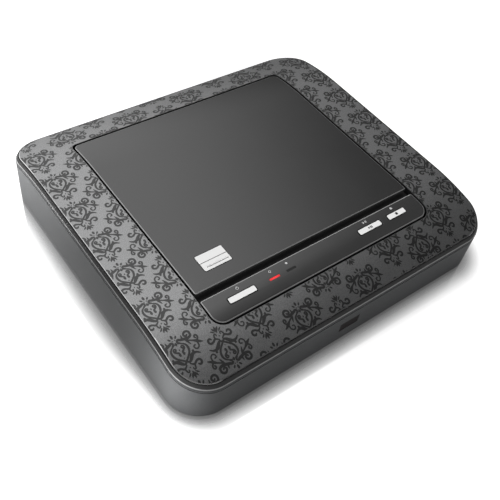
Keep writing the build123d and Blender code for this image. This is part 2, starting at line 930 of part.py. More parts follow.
def screw(x, y, head_low, tip):
    body = post(x, y, screw_head_radius, head_low, head_low + screw_head_thick)
    body += post(x, y, screw_radius, head_low, tip)
    cross = block(x - 1.6, x + 1.6, y - 0.35, y + 0.35, head_low - 1, head_low + 0.8)
    cross += block(x - 0.35, x + 0.35, y - 1.6, y + 1.6, head_low - 1, head_low + 0.8)
    return body - cross


def mech_screws():
    body = None
    head_low = mech_top - mech_thick - bobbin_flange - screw_head_thick
    for x, y in bobbins:
        one = screw(x, y + well_y, head_low, well_floor_bottom - 1)
        body = one if body is None else body + one
    return body


def spindle_motor():
    body = post(0, 0, motor_radius, mech_top, mech_top + motor_height)
    body = chamfer(body.faces().sort_by(Axis.Z)[-1].edges(), 0.8)
    body += post(0, 0, motor_boss, mech_top - mech_thick - 1.0, mech_top + 1)
    body -= post(0, 0, shaft_radius + running_gap, mech_top - mech_thick, 60)
    return Pos(0, well_y, 0) * body


def turntable():
    flange_top = seat_z - mat_thick
    profile = make_face(
        Polyline(
            (0, mech_top),
            (shaft_radius, mech_top),
            (shaft_radius, mech_top + motor_height + 0.5),
            (5.5, mech_top + motor_height + 0.5),
            (5.5, flange_top - hub_flange),
            (hub_radius, flange_top - hub_flange),
            (hub_radius, flange_top),
            (mat_inner - 0.6, flange_top),
            (mat_inner - 0.6, seat_z - 0.1),
            (nose_radius, seat_z - 0.1),
            (nose_radius, seat_z + nose_height * 0.45),
            (nose_radius - 1.6, seat_z + nose_height),
            (0, seat_z + nose_height),
            close=True,
        )
    )
    body = revolve(Plane.XZ * profile, Axis.Z)
    for angle in (90, 210, 330):
        body -= Rot(0, 0, angle) * bar_x(0, ball_z(), ball_radius + 0.02, ball_x() - ball_radius, hub_radius)
    return Pos(0, well_y, 0) * body


def ball_z():
    return seat_z + 1.3


def ball_x():
    return nose_radius + ball_proud - ball_radius


def chuck_balls():
    body = None
    for angle in (90, 210, 330):
        ball = Rot(0, 0, angle) * Pos(ball_x(), 0, ball_z()) * Sphere(ball_radius)
        body = ball if body is None else body + ball
    return Pos(0, well_y, 0) * body


def turntable_mat():
    ring = post(0, 0, hub_radius, seat_z - mat_thick, seat_z) - post(0, 0, mat_inner, 0, 60)
    return Pos(0, well_y, 0) * ring


def guide_rods():
    rods = bar_x(-rod_y, rod_z, rod_radius, rod_start, rod_end)
    rods += bar_x(rod_y, rod_z, rod_radius, rod_start, rod_end)
    return Pos(0, well_y, 0) * rods


def rod_clamps():
    body = None
    for side in (-1, 1):
        for x in (rod_start, rod_end - clamp_length):
            y = side * rod_y
            clamp = block(x, x + clamp_length, y - clamp_half, y + clamp_half, mech_top,
                          rod_z + rod_radius + clamp_wall)
            clamp -= bar_x(y, rod_z, rod_radius + 0.02, x - 1, x + clamp_length + 1)
            body = clamp if body is None else body + clamp
    return Pos(0, well_y, 0) * body


def pickup_sled():
    x0 = sled_inner
    x1 = sled_inner + sled_length
    body = block(x0, x1, -sled_half_y, sled_half_y, sled_bottom, sled_top)
    bevel = body.edges().filter_by(Axis.Z)
    body = chamfer(bevel, 2.5)
    body += block(x0 + 2, x1 - 2, -sled_half_y, -sled_half_y + 3, sled_bottom, sled_top)
    body -= post(0, 0, motor_radius + 1.6, 0, 60)
    body -= bar_x(rod_y, rod_z, rod_radius + 0.06, x0 - 1, x1 + 1)
    body -= block(x0 - 1, x1 + 1, -rod_y - 2.2, -rod_y + 2.2, rod_z - rod_radius - 0.08, rod_z + rod_radius + 0.08)
    body += post(lens_start, 0, tower_radius, sled_top - 1, well_floor_top - 0.4)
    body -= post(lens_start, 0, lens_radius + 0.02, well_floor_top - 1.6, 60)
    body -= block(x0 + 15.5, x1 - 2.5, -12, 12, sled_bottom + 1.2, 60)
    return Pos(0, well_y, 0) * body


def objective_lens():
    top = seat_z - lens_gap
    body = post(lens_start, 0, lens_radius, well_floor_top - 1.6, top - 0.5)
    dome_radius = 7.0
    dome = Pos(lens_start, 0, top - dome_radius) * Sphere(dome_radius)
    body += dome & post(lens_start, 0, lens_radius - 0.4, top - 1.0, 60)
    return Pos(0, well_y, 0) * body


def laser_block():
    body = block(sled_inner + 16.5, sled_inner + sled_length - 3.5, -8, 8, sled_bottom + 1.2, sled_top + 0.2)
    for i in range(4):
        y = -6 + 4 * i
        body -= block(sled_inner + 15, sled_inner + sled_length, y - 0.7, y + 0.7, sled_bottom + 2.6, 60)
    return Pos(0, well_y, 0) * body


def sled_motor():
    top = mech_top - mech_thick
    body = post(0, 0, sled_motor_radius, top - sled_motor_length, top)
    body = chamfer(body.faces().sort_by(Axis.Z)[0].edges(), 0.8)
    body += post(0, 0, 3.0, top - sled_motor_length - 1.2, top - sled_motor_length + 0.5)
    body -= post(0, 0, shaft_radius + running_gap, top - 6, 60)
    return Pos(pinion_x, pinion_y + well_y, 0) * body


# Boards and what stands on them
def board_slab(left, rear, length, depth):
    return block(left, left + length, rear - depth, rear, board_top - board_thick, board_top)


def main_board():
    return board_slab(main_board_left, main_board_rear, main_board_length, main_board_depth)


def main_board_parts():
    """What stands on the main board, placed from its rear left corner, or from the edge it is near."""
    top = board_top
    right = main_board_length
    front = -main_board_depth
    body = block(34, 58, -82, -58, top, top + 2.2)
    for i in range(7):
        y = -81.5 + i * 3.6
        body += block(35, 57, y, y + 1.2, top + 2.0, top + 8)
    body += block(62, 80, -78, -67, top, top + 1.4)
    body += block(12, 24, -76, -68, top, top + 1.8)
    body += block(right - 30, right - 6, front + 4, front + 10, top, top + 6)
    body += block(right - 6, right - 1, -56, -30, top, top + 7)
    capacitors = ((10, -46, 4, 9), (20, -46, 4, 9), (70, -46, 3.2, 7), (80, -90, 4, 9), (12, -96, 5, 6))
    for x, y, radius, height in capacitors:
        body += post(x, y, radius, top, top + height)
    return Pos(main_board_left, main_board_rear, 0) * body


def power_board():
    left = power_board_right - power_board_length
    return board_slab(left, power_board_rear, power_board_length, power_board_depth)


def power_board_parts():
    """What stands on the power board, placed from its rear right corner, or from the edge it is near."""
    top = board_top
    sink = 8 - power_board_length
    core = block(-48, -24, -34, -12, top, top + 15)
    core -= block(-50, -43, -30, -16, top + 3, top + 12)
    core -= block(-29, -22, -30, -16, top + 3, top + 12)
    winding = Pos(-36, -23, top + 7.5) * Cylinder(8.5, 9)
    body = core + winding
    body += post(-6, -42, 7, top, top + 12)
    body += block(-20, -6, -28, -14, top, top + 11)
    body += block(sink, sink + 13.2, -34, -10, top, top + 2)
    for i in range(5):
        x = sink + i * 3.0
        body += block(x, x + 1.2, -34, -10, top, top + 14)
    for x, y, radius, height in ((-68, -50, 4.5, 8), (-56, -50, 4.5, 8), (-44, -50, 4, 7), (-56, -6, 5, 10)):
        body += post(x, y, radius, top, top + height)
    body += bar_x(-54, top + 3, 2.6, -26, -6)
    body += block(-27, -23, -57, -51, top, top + 4)
    body += block(-9, -5, -57, -51, top, top + 4)
    return Pos(power_board_right, power_board_rear, 0) * body


# Sockets
def jack_block():
    body = None
    half = jack_block_width / 2
    for x in jack_places():
        one = block(x - half, x + half, jack_back - jack_block_depth, jack_back, board_top, jack_z + 6)
        one += bar_y(x, jack_z, jack_radius - 1.0, jack_back - 1, case_half_y - jack_short - 0.4)
        one -= bar_y(x, jack_z, jack_bore, jack_back - jack_depth, case_half_y)
        body = one if body is None else body + one
    return body


def jack_shells():
    body = None
    for x in jack_places():
        shell = bar_y(x, jack_z, jack_radius, jack_back, case_half_y - jack_short)
        shell -= bar_y(x, jack_z, jack_radius - 1.0, jack_back - 1, case_half_y)
        body = shell if body is None else body + shell
    return body


def mains_inlet():
    face = inlet_face
    body = block(inlet_x - inlet_length / 2, inlet_x + inlet_length / 2, face - inlet_body_depth, face,
                 inlet_z - inlet_height / 2, inlet_z + inlet_height / 2)
    inside = case_half_y - wall
    body += block(inlet_x - inlet_length / 2 - 2, inlet_x + inlet_length / 2 + 2, inside - 1.6, inside,
                  inlet_z - inlet_height / 2 - 1.5, inlet_z + inlet_height / 2 + 1.5)
    cavity = SlotOverall(inlet_cavity_length, inlet_cavity_height)
    cut = extrude(Plane.XZ.offset(-face - 1) * Pos(inlet_x, inlet_z) * cavity, amount=inlet_cavity_depth + 1)
    return body - cut


def inlet_pins():
    body = None
    face = inlet_face
    for side in (-1, 1):
        x = inlet_x + side * inlet_pin_pitch / 2
        pin = bar_y(x, inlet_z, inlet_pin_radius, face - inlet_cavity_depth, face - 2.0)
        body = pin if body is None else body + pin
    return body


# Feet and case screws
def rubber_feet():
    body = None
    for x, y in feet:
        foot = post(x, y, foot_radius, 0, foot_height + foot_recess)
        foot = chamfer(foot.faces().sort_by(Axis.Z)[0].edges(), 0.3)
        body = foot if body is None else body + foot
    return body


def case_screws():
    body = None
    for x, y in posts:
        one = screw(x, y, floor_top + 6 - screw_head_thick, post_top + 7)
        body = one if body is None else body + one
    return body


pieces = {
    "base_housing": base_housing,
    "top_cover": top_cover,
    "decor_plate": decor_plate,
    "disc_well": disc_well,
    "hinge_pins": hinge_pins,
    "latch_unit": latch_unit,
    "lid_panel": lid_panel,
    "lid_inner": lid_inner,
    "open_button": open_button,
    "control_panel": control_panel,
    "control_board": control_board,
    "tact_switches": tact_switches,
    "indicator_leds": indicator_leds,
    "ir_window": ir_window,
    "ir_board": ir_board,
    "ir_receiver": ir_receiver,
    "mech_plate": mech_plate,
    "rubber_bobbins": rubber_bobbins,
    "mech_screws": mech_screws,
    "spindle_motor": spindle_motor,
    "turntable": turntable,
    "turntable_mat": turntable_mat,
    "chuck_balls": chuck_balls,
    "guide_rods": guide_rods,
    "rod_clamps": rod_clamps,
    "pickup_sled": pickup_sled,
    "objective_lens": objective_lens,
    "laser_block": laser_block,
    "sled_rack": sled_rack,
    "idler_gear": idler_gear,
    "motor_pinion": motor_pinion,
    "sled_motor": sled_motor,
    "main_board": main_board,
    "main_board_parts": main_board_parts,
    "power_board": power_board,
    "power_board_parts": power_board_parts,
    "jack_block": jack_block,
    "jack_shells": jack_shells,
    "mains_inlet": mains_inlet,
    "inlet_pins": inlet_pins,
    "rubber_feet": rubber_feet,
    "case_screws": case_screws,
}

for node, make in pieces.items():
    export_step(make(), f"parts/{node}.step")

for name, x, length in buttons:
    export_step(bar_button(x, length), f"parts/{name}_button.step")

export_step(light_pipe(standby_x, standby_length), "parts/standby_light.step")
export_step(light_pipe(on_x, on_length), "parts/on_light.step")
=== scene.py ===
import json
import math

import bmesh
import bpy
from mathutils import Matrix, Vector, geometry

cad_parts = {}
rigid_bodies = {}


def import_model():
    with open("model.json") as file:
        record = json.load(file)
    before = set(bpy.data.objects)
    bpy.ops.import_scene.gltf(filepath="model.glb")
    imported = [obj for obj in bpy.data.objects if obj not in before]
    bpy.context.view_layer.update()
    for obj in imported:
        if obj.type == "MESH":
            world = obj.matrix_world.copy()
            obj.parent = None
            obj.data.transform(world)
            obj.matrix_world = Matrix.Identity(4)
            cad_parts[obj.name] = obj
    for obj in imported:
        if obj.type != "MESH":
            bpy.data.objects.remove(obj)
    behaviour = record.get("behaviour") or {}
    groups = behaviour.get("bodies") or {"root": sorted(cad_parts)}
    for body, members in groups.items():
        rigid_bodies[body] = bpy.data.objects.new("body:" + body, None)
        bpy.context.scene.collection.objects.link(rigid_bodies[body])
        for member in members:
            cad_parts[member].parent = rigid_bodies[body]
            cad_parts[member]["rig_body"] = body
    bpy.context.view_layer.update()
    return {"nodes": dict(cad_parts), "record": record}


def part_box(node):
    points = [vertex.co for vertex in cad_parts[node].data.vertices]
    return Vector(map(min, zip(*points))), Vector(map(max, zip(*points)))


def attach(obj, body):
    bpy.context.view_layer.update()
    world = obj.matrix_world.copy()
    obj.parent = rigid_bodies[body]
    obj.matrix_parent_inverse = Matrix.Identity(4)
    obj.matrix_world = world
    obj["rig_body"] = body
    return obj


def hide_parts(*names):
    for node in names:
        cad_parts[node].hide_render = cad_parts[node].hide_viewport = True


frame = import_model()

mm = 0.001
bpy.ops.object.select_all(action="DESELECT")


# Case tub
# The lower half of the case is one deep moulding in dark metallic paint, with the bay
# of the sockets in its rear wall and slots in its floor. The cover drops into its rim.
class Measure:
    """A value in a finish. Sums, products and comparisons on it add Math nodes."""

    def __init__(self, finish, socket):
        self.finish = finish
        self.socket = socket

    def reckon(self, operation, first, second):
        return self.finish.node("ShaderNodeMath", {"operation": operation}, {0: first, 1: second})

    def __add__(self, other):
        return self.reckon("ADD", self, other)

    __radd__ = __add__

    def __sub__(self, other):
        return self.reckon("SUBTRACT", self, other)

    def __mul__(self, other):
        return self.reckon("MULTIPLY", self, other)

    __rmul__ = __mul__

    def __gt__(self, other):
        return self.reckon("GREATER_THAN", self, other)


class Finish:
    """A paint, plastic or metal. Fixed values sit on the shader, changing ones are linked."""

    def __init__(self, name, **fixed):
        self.material = bpy.data.materials.new(name)
        self.material.use_nodes = True
        self.tree = self.material.node_tree
        self.shader = self.tree.nodes["Principled BSDF"]
        self.set(**fixed)
        self.place = self.node("ShaderNodeTexCoord", {}, {}, "Object")

    def node(self, kind, settings, inputs, out=0):
        """Adds any node: its settings first, then the values or links of its sockets."""
        made = self.tree.nodes.new(kind)
        for key, value in settings.items():
            setattr(made, key, value)
        for key, value in inputs.items():
            self.feed(made.inputs[key], value)
        return Measure(self, made.outputs[out])

    def feed(self, socket, value):
        if isinstance(value, Measure):
            self.tree.links.new(value.socket, socket)
        else:
            socket.default_value = value

    def set(self, **values):
        for name, value in values.items():
            self.feed(self.shader.inputs[name.replace("_", " ")], value)

    def reckon_of(self, operation, *values):
        """One Math node on values of this finish."""
        return self.node("ShaderNodeMath", {"operation": operation}, dict(enumerate(values)))

    def speckle(self, size, detail=2.0, roughness=0.5):
        """Soft noise from 0 to 1, with grains about `size` metres across."""
        inputs = {"Vector": self.place, "Scale": 1 / size, "Detail": detail, "Roughness": roughness}
        return self.node("ShaderNodeTexNoise", {}, inputs)

    def between(self, value, low, high, to_low=0.0, to_high=1.0):
        """Maps a value from one range smoothly onto another, and holds it there."""
        inputs = {0: value, 1: low, 2: high, 3: to_low, 4: to_high}
        return self.node("ShaderNodeMapRange", {"interpolation_type": "SMOOTHSTEP"}, inputs)

    def tint(self, factor, first, second):
        """One colour over another, as far as the factor says. A plain number is a grey."""
        first, second = (grey(one) if isinstance(one, float) else one for one in (first, second))
        inputs = {0: factor, 6: first, 7: second}
        return self.node("ShaderNodeMix", {"data_type": "RGBA"}, inputs, 2)

    def vary(self, noise, first, second, roughness, spread):
        """Lets the colour and the roughness wander together over the surface."""
        self.set(Base_Color=self.tint(noise, first, second), Roughness=roughness + spread * noise)

    def relief(self, height, distance, strength):
        """Bumps `distance` metres high where the height is 1."""
        inputs = {"Strength": strength, "Distance": distance, "Height": height}
        self.set(Normal=self.node("ShaderNodeBump", {}, inputs))


def grey(value):
    return (value, value, value, 1)


def take(*pieces):
    """Selects these pieces alone, and makes the first one active."""
    bpy.ops.object.select_all(action="DESELECT")
    for piece in pieces:
        piece.select_set(True)
    bpy.context.view_layer.objects.active = pieces[0]


def edit(piece):
    take(piece)
    bpy.ops.object.mode_set(mode="EDIT")


def done():
    bpy.ops.object.mode_set(mode="OBJECT")


def take_all():
    bpy.ops.mesh.select_all(action="SELECT")


def turn_outwards():
    """Turns every face of a closed shape outwards."""
    take_all()
    bpy.ops.mesh.normals_make_consistent(inside=False)


def middle(part):
    if isinstance(part, bmesh.types.BMVert):
        return part.co.copy()
    return sum((corner.co for corner in part.verts), Vector()) / len(part.verts)


def pick(kind, rule):
    """Selects the corners, edges or faces that a rule on their middle accepts."""
    bpy.ops.mesh.select_mode(type=kind)
    bpy.ops.mesh.select_all(action="DESELECT")
    mesh = bmesh.from_edit_mesh(bpy.context.object.data)
    for part in {"VERT": mesh.verts, "EDGE": mesh.edges, "FACE": mesh.faces}[kind]:
        if rule(middle(part), part):
            part.select_set(True)
    mesh.select_flush_mode()
    bmesh.update_edit_mesh(bpy.context.object.data)


weld = 0.002 * mm


def fit(piece, body, finish, slot, *nodes, crease=30, merge=weld, sheet=False):
    """Closes up a piece, smooths it between its creases and puts it where it belongs."""
    edit(piece)
    take_all()
    bpy.ops.mesh.remove_doubles(threshold=merge)
    if sheet:
        pick("FACE", lambda at, part: part.normal.z < 0)
        bpy.ops.mesh.flip_normals()
    else:
        bpy.ops.mesh.normals_make_consistent(inside=False)
    done()
    bpy.ops.object.shade_smooth_by_angle(angle=math.radians(crease))
    even = piece.modifiers.new("even", "WEIGHTED_NORMAL")
    even.keep_sharp = True
    bpy.ops.object.modifier_apply(modifier=even.name)
    if piece.data.materials:
        piece.data.materials[0] = finish.material
    else:
        piece.data.materials.append(finish.material)
    piece.select_set(False)
    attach(piece, body)
    if nodes:
        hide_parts(*nodes)
    return piece


def bring_in(name, data):
    """Puts a mesh, lamp or camera into the scene under a name."""
    made = bpy.data.objects.new(name, data)
    bpy.context.scene.collection.objects.link(made)
    return made


def merged_copy(node, name):
    """A solid's own shape with its loose triangles joined up, ready to be worked on."""
    piece = bring_in(name, frame["nodes"][node].data.copy())
    edit(piece)
    bpy.ops.mesh.customdata_custom_splitnormals_clear()
    take_all()
    bpy.ops.mesh.remove_doubles(threshold=weld)
    done()
    return piece


def second_finish(piece, finish, rule):
    """Gives the faces that a rule accepts another finish than the rest of the piece."""
    if not piece.data.materials:
        piece.data.materials.append(finish.material)
    piece.data.materials.append(finish.material)
    for face in piece.data.polygons:
        if rule(face.center, face.normal):
            face.material_index = len(piece.data.materials) - 1


# Black that stands for shade: painted shade in gaps, grooves and holes between parts.
painted_shade_black = Finish("painted_shade_black", Roughness=0.7)
painted_shade_black.set(Base_Color=painted_shade_black.tint(painted_shade_black.speckle(0.5 * mm), 0.004, 0.008))
wall_paint = Finish("wall_paint", Specular_IOR_Level=0.15)
flake = wall_paint.speckle(0.35 * mm, 3.0, 0.6)
cloud = wall_paint.speckle(60 * mm, 1.0)
shade = wall_paint.tint(wall_paint.between(flake, 0.35, 0.65),
                        (0.028, 0.029, 0.03, 1), (0.042, 0.043, 0.044, 1))
wall_paint.set(Base_Color=wall_paint.tint(cloud * 0.25, shade, 0.026))
wall_paint.set(Roughness=0.46 + 0.1 * cloud)
wall_paint.relief(flake, 0.012 * mm, 0.5)

rim_floor = 27 * mm
rim_half_x = 121.9 * mm
rim_half_y = 110.9 * mm
tub = merged_copy("base_housing", "case_tub")
# The tub's rim and its inner faces above the rim floor are painted black, as shade in the gap under
# the cover's bead.
second_finish(tub, painted_shade_black, lambda at, way: at.z > rim_floor and (
    way.z > 0.5 or abs(at.x) < rim_half_x and abs(at.y) < rim_half_y))
fit(tub, "case", wall_paint, "case_paint", "base_housing")


# Cover border
# The cover's own rim shows round the plate: a bead at its foot, a thin groove above it,
# and a bevel up to the lip that holds the plate. The bevel carries a painted highlight line
# and a dark band between that line and the plate. The groove and the gap at the lip are
# painted black, as shade.
case_half_x = 123.6 * mm
case_half_y = 112.6 * mm
case_corner = 23.0 * mm
case_top = 42.4 * mm
crown_flat = 54.5 * mm
crown_radius = 169.0 * mm


def crown(y, depth):
    """The height of the layer that lies `depth` under the crowned top."""
    over = max(0.0, abs(y) - crown_flat)
    return case_top - crown_radius + math.sqrt((crown_radius - depth) ** 2 - over**2)


def lay_on_crown(piece):
    """Drapes a piece that was made flat, with its top at nought, over the crown of the case."""
    for vertex in piece.data.vertices:
        vertex.co.z = crown(vertex.co.y, -vertex.co.z)


def stations(reach, step=3 * mm):
    """The places in Y where the crowned part of a piece is cut across, so that it can follow."""
    found = []
    place = crown_flat
    while place < reach:
        found += [-place, place]
        place += step
    return found


def slice_at(spot, way, trim=False):
    """Cuts all of a piece with a plane, and may throw away what lies beyond it."""
    take_all()
    bpy.ops.mesh.bisect(plane_co=spot, plane_no=way, clear_outer=trim, threshold=0.0005 * mm)


def cut_across(places, way=(0, 1, 0)):
    """Cuts all of a piece across at each place along an axis."""
    for place in places:
        slice_at([place * part for part in way], way)


def meets(value, level):
    """Whether a corner lies at a level, but for rounding."""
    return abs(value - level) < 0.005 * mm


def blank(name, x0, x1, y0, y1, z, front_corner, rear_corner, turns):
    """A flat sheet with rounded corners, left in edit mode with all of it selected."""
    bpy.ops.object.select_all(action="DESELECT")
    bpy.ops.mesh.primitive_plane_add(size=1)
    piece = bpy.context.object
    piece.name = name
    bpy.ops.object.mode_set(mode="EDIT")
    take_all()
    bpy.ops.transform.resize(value=(x1 - x0, y1 - y0, 1))
    bpy.ops.transform.translate(value=((x0 + x1) / 2, (y0 + y1) / 2, z))
    for corner, side in ((front_corner, y0), (rear_corner, y1)):
        if corner:
            pick("VERT", lambda at, part: meets(at.y, side))
            bpy.ops.mesh.bevel(affect="VERTICES", offset=corner, segments=turns)
    bpy.ops.mesh.select_mode(type="FACE")
    take_all()
    return piece


def raise_by(height):
    bpy.ops.mesh.extrude_region_move(TRANSFORM_OT_translate={"value": (0, 0, height)})


def step_in(inset, height):
    bpy.ops.mesh.inset(thickness=inset, depth=height, use_boundary=True)


def round_off(width, steps):
    """Rounds the selected edges."""
    bpy.ops.mesh.bevel(affect="EDGES", offset=width, segments=steps)


def ring_between(low, high):
    """Selects the upright faces whose middle lies between two heights."""
    pick("FACE", lambda at, part: low < at.z < high and abs(part.normal.z) < 0.3)


def outer_edge(at):
    """Tells the outermost line of the case from the lines further in."""
    x, y = abs(at.x) - case_half_x + case_corner, abs(at.y) - case_half_y + case_corner
    return math.hypot(max(x, 0), max(y, 0)) > case_corner - 0.3 * mm


border_foot = -4.5 * mm
bead_top = -3.55 * mm
groove_top = -3.15 * mm
groove_depth = 0.7 * mm
bead_round = 0.22 * mm
lip_depth = 0.6 * mm
lip_width = 3.7 * mm
bevel_steps = (  # inwards and upwards, in millimetres
    (0.09, 0.22), (0.17, 0.3), (0.35, 0.63), (0.54, 0.86), (0.5, 0.7), (0.2, 0.17), (0.15, 0.02),
    (0.2, 0), (0.05, -0.05),
)
border = blank("cover_border", -case_half_x, case_half_x, -case_half_y, case_half_y, border_foot,
               case_corner, case_corner, 20)
cut_across(stations(case_half_y))
take_all()
raise_by(bead_top - border_foot)
raise_by(groove_top - bead_top)
raise_by(0.05 * mm)
for inwards, upwards in bevel_steps:
    step_in(inwards * mm, upwards * mm)
raise_by(-lip_depth)
step_in(lip_width, 0)
bpy.ops.mesh.delete(type="FACE")
pick("FACE", lambda at, part: meets(at.z, border_foot) and abs(part.normal.z) > 0.9)
bpy.ops.mesh.inset(thickness=2.35 * mm, depth=0, use_boundary=True)
raise_by(-3.0 * mm)
step_in(1.6 * mm, 0)
bpy.ops.mesh.delete(type="FACE")
ring_between(bead_top, groove_top)
bpy.ops.mesh.extrude_region_shrink_fatten(TRANSFORM_OT_shrink_fatten={"value": -groove_depth})
pick("EDGE", lambda at, part: part.is_boundary)
bpy.ops.mesh.bridge_edge_loops()
pick("EDGE", lambda at, part: (meets(at.z, bead_top) or meets(at.z, border_foot))
     and part.calc_face_angle(0) > 1.2 and outer_edge(at))
round_off(bead_round, 3)
done()

# A lighter grey for a ring of the bevel: a painted highlight where light would glint off it.
painted_highlight_line = Finish("painted_highlight_line", Specular_IOR_Level=0.15)
painted_highlight_line.vary(painted_highlight_line.speckle(8 * mm, 3.0, 0.6), 0.12, 0.145, 0.4, 0.1)
channel = Finish("border_channel", Specular_IOR_Level=0.1)
channel.vary(channel.speckle(8 * mm, 3.0, 0.6), 0.017, 0.022, 0.4, 0.1)
line_low = -2.6 * mm
line_high = -1.9 * mm
lip_high = -0.1 * mm
# Painted highlight: a lighter ring on the bevel.
second_finish(border, painted_highlight_line, lambda at, way: line_low < at.z < line_high)
second_finish(border, channel, lambda at, way: line_high < at.z < lip_high)
# Painted shade: the groove and the lip's inner wall next to the plate are black.
second_finish(border, painted_shade_black, lambda at, way: -3.5 * mm < at.z < -3.2 * mm
              or at.z > -0.9 * mm and way.z < 0.3
              and abs(at.x) < 121.5 * mm and abs(at.y) < 110.5 * mm)
lay_on_crown(border)
fit(border, "case", wall_paint, "case_paint", "top_cover")


# Cover recess
# The wall of the deck opening and the ledge that carries the deck and the bar are part of
# the cover's moulding. They are left as moulded, in black.
opening_half_x = 87.9 * mm
opening_front = -85.5 * mm
opening_rear = 87.3 * mm
opening_front_corner = 8.6 * mm
opening_rear_corner = 4.3 * mm
ledge_top = -7.0 * mm
ledge_width = 3.0 * mm
hinge_gap_front = 74.6 * mm


def slab(name, x0, x1, y0, y1, low, high, front_corner, rear_corner, turns):
    """A flat block with rounded corners, left in edit mode."""
    piece = blank(name, x0, x1, y0, y1, low, front_corner, rear_corner, turns)
    raise_by(high - low)
    turn_outwards()
    return piece


def opening_block(name, low, high, grow):
    """The space of the deck opening between two depths, grown sideways."""
    piece = blank(name, -opening_half_x - grow, opening_half_x + grow, opening_front - grow,
                  opening_rear + grow, low, opening_front_corner + grow,
                  opening_rear_corner + grow, 8)
    cut_across(stations(opening_rear))
    take_all()
    raise_by(high - low)
    turn_outwards()
    done()
    return piece


def cut_out(piece, cutter):
    """Cuts one closed shape out of another and throws the cutter away."""
    take(piece)
    carve = piece.modifiers.new("carve", "BOOLEAN")
    carve.object = cutter
    carve.solver = "EXACT"
    bpy.ops.object.modifier_apply(modifier=carve.name)
    bpy.data.objects.remove(cutter)


recess = opening_block("cover_recess", ledge_top - 1.6 * mm, -1.0 * mm, 1.6 * mm)
cut_out(recess, opening_block("space", ledge_top, 1.0 * mm, 0))
cut_out(recess, opening_block("hole", -10.0 * mm, 1.0 * mm, -ledge_width))
rear_gap = slab("rear_gap", -opening_half_x, opening_half_x, hinge_gap_front, opening_rear,
                -10 * mm, -0.5 * mm, 0, opening_rear_corner, 8)
done()
cut_out(recess, rear_gap)
edit(recess)
cut_across(stations(opening_rear))
done()
lay_on_crown(recess)

matt_black = Finish("moulded_black", Specular_IOR_Level=0.3)
pores = matt_black.speckle(0.5 * mm, 4.0, 0.6)
matt_black.vary(pores, 0.013, 0.02, 0.48, 0.16)
matt_black.relief(pores, 0.02 * mm, 0.6)
fit(recess, "case", matt_black, "case_paint", "top_cover")


# Inlaid plate
# A thin sheet of satin metal lies in the cover, sprung down over the crown. Its cut edge
# is bright along the border.
plate_half_x = 121.0 * mm
plate_half_y = 110.0 * mm
plate_corner = 19.7 * mm
plate_thick = 0.8 * mm
plate_round = 0.45 * mm
plate = blank("inlaid_plate", -plate_half_x, plate_half_x, -plate_half_y, plate_half_y,
              -plate_thick, plate_corner, plate_corner, 20)
raise_by(plate_thick)
pick("EDGE", lambda at, part: meets(at.z, 0))
round_off(plate_round, 3)
turn_outwards()
done()
cut_out(plate, opening_block("deck_opening", -3.0 * mm, 3.0 * mm, 0))
edit(plate)
cut_across(stations(plate_half_y))
done()
lay_on_crown(plate)

satin = Finish("satin_metal", Metallic=1.0)
grit = satin.speckle(0.55 * mm, 4.0, 0.65)
tone = satin.tint(satin.between(grit, 0.3, 0.7), (0.23, 0.231, 0.233, 1), (0.4, 0.402, 0.405, 1))
satin.set(Base_Color=satin.tint(satin.speckle(40 * mm, 2.0) * 0.2, tone, 0.28))
satin.set(Roughness=0.32 + 0.1 * satin.between(grit, 0.25, 0.75))
satin.relief(grit, 0.012 * mm, 0.5)
cut_edge = Finish("cut_edge", Metallic=1.0)
cut_edge.vary(cut_edge.speckle(5 * mm, 3.0, 0.6), 0.72, 0.8, 0.16, 0.06)


def on_cut_edge(at, way):
    """The plate's own rounded edge along the border, and not the one at the opening."""
    rounded = crown(at.y, 0.55 * mm) < at.z < crown(at.y, 0.01 * mm)
    return rounded and way.z < 0.96 and outer_edge(at * 1.022)


second_finish(plate, cut_edge, on_cut_edge)
fit(plate, "case", satin, "printed_metal", "decor_plate")


# Damask on the plate
# A traditional damask is printed over the whole sheet in smoky lacquer. One motif is drawn
# with tapering strokes, and rows of its copies, upright and upside down in turn, are trimmed
# to the plate.
steps = 3
stroke_gain = 1.18
stroke_spread = 0.2


def flowing(points, widths):
    """A smooth line through the points of a stroke, with its width along the way."""
    line = []
    last = len(points) - 1
    for i in range(last):
        places = (max(0, min(last, i + k)) for k in (-1, 0, 1, 2))
        before, here, there, after = (Vector(points[place]) for place in places)
        for step in range(steps if i < last - 1 else steps + 1):
            t = step / steps
            spot = 0.5 * (
                2 * here + (there - before) * t
                + (2 * before - 5 * here + 4 * there - after) * t * t
                + (3 * here - before - 3 * there + after) * t**3
            )
            line.append((spot, widths[i] + (widths[i + 1] - widths[i]) * t))
    return line


def stroke(points, widths):
    """The four-cornered pieces and round ends that make up one stroke of the brush."""
    if len(widths) == 2 and len(points) > 2:
        last = len(points) - 1
        widths = [widths[0] + (widths[1] - widths[0]) * i / last for i in range(len(points))]
    line = flowing(points, [stroke_gain * width + stroke_spread for width in widths])
    sides = []
    for i, (spot, width) in enumerate(line):
        ahead = line[min(i + 1, len(line) - 1)][0] - line[max(i - 1, 0)][0]
        across = Vector((-ahead.y, ahead.x)).normalized() * width / 2
        sides.append((spot + across, spot - across))
    shapes = [[*sides[i], *reversed(sides[i + 1])] for i in range(len(sides) - 1)]
    for spot, width in (line[0], line[-1]):
        shapes.append(oval(spot.x, spot.y, width, width, 0, 8))
    return shapes


def oval(x, y, length, width, turn=0, corners=12):
    """A closed oval, `length` along its axis and `width` across it."""
    shape = []
    for i in range(corners):
        angle = 2 * math.pi * i / corners
        along, across = length / 2 * math.cos(angle), width / 2 * math.sin(angle)
        shape.append(Vector((
            x + along * math.cos(turn) - across * math.sin(turn),
            y + along * math.sin(turn) + across * math.cos(turn),
        )))
    return shape


def lozenge(x, y, width, height):
    ends = ((width / 2, 0), (0, height / 2), (-width / 2, 0), (0, -height / 2))
    return [Vector((x + aside, y + above)) for aside, above in ends]


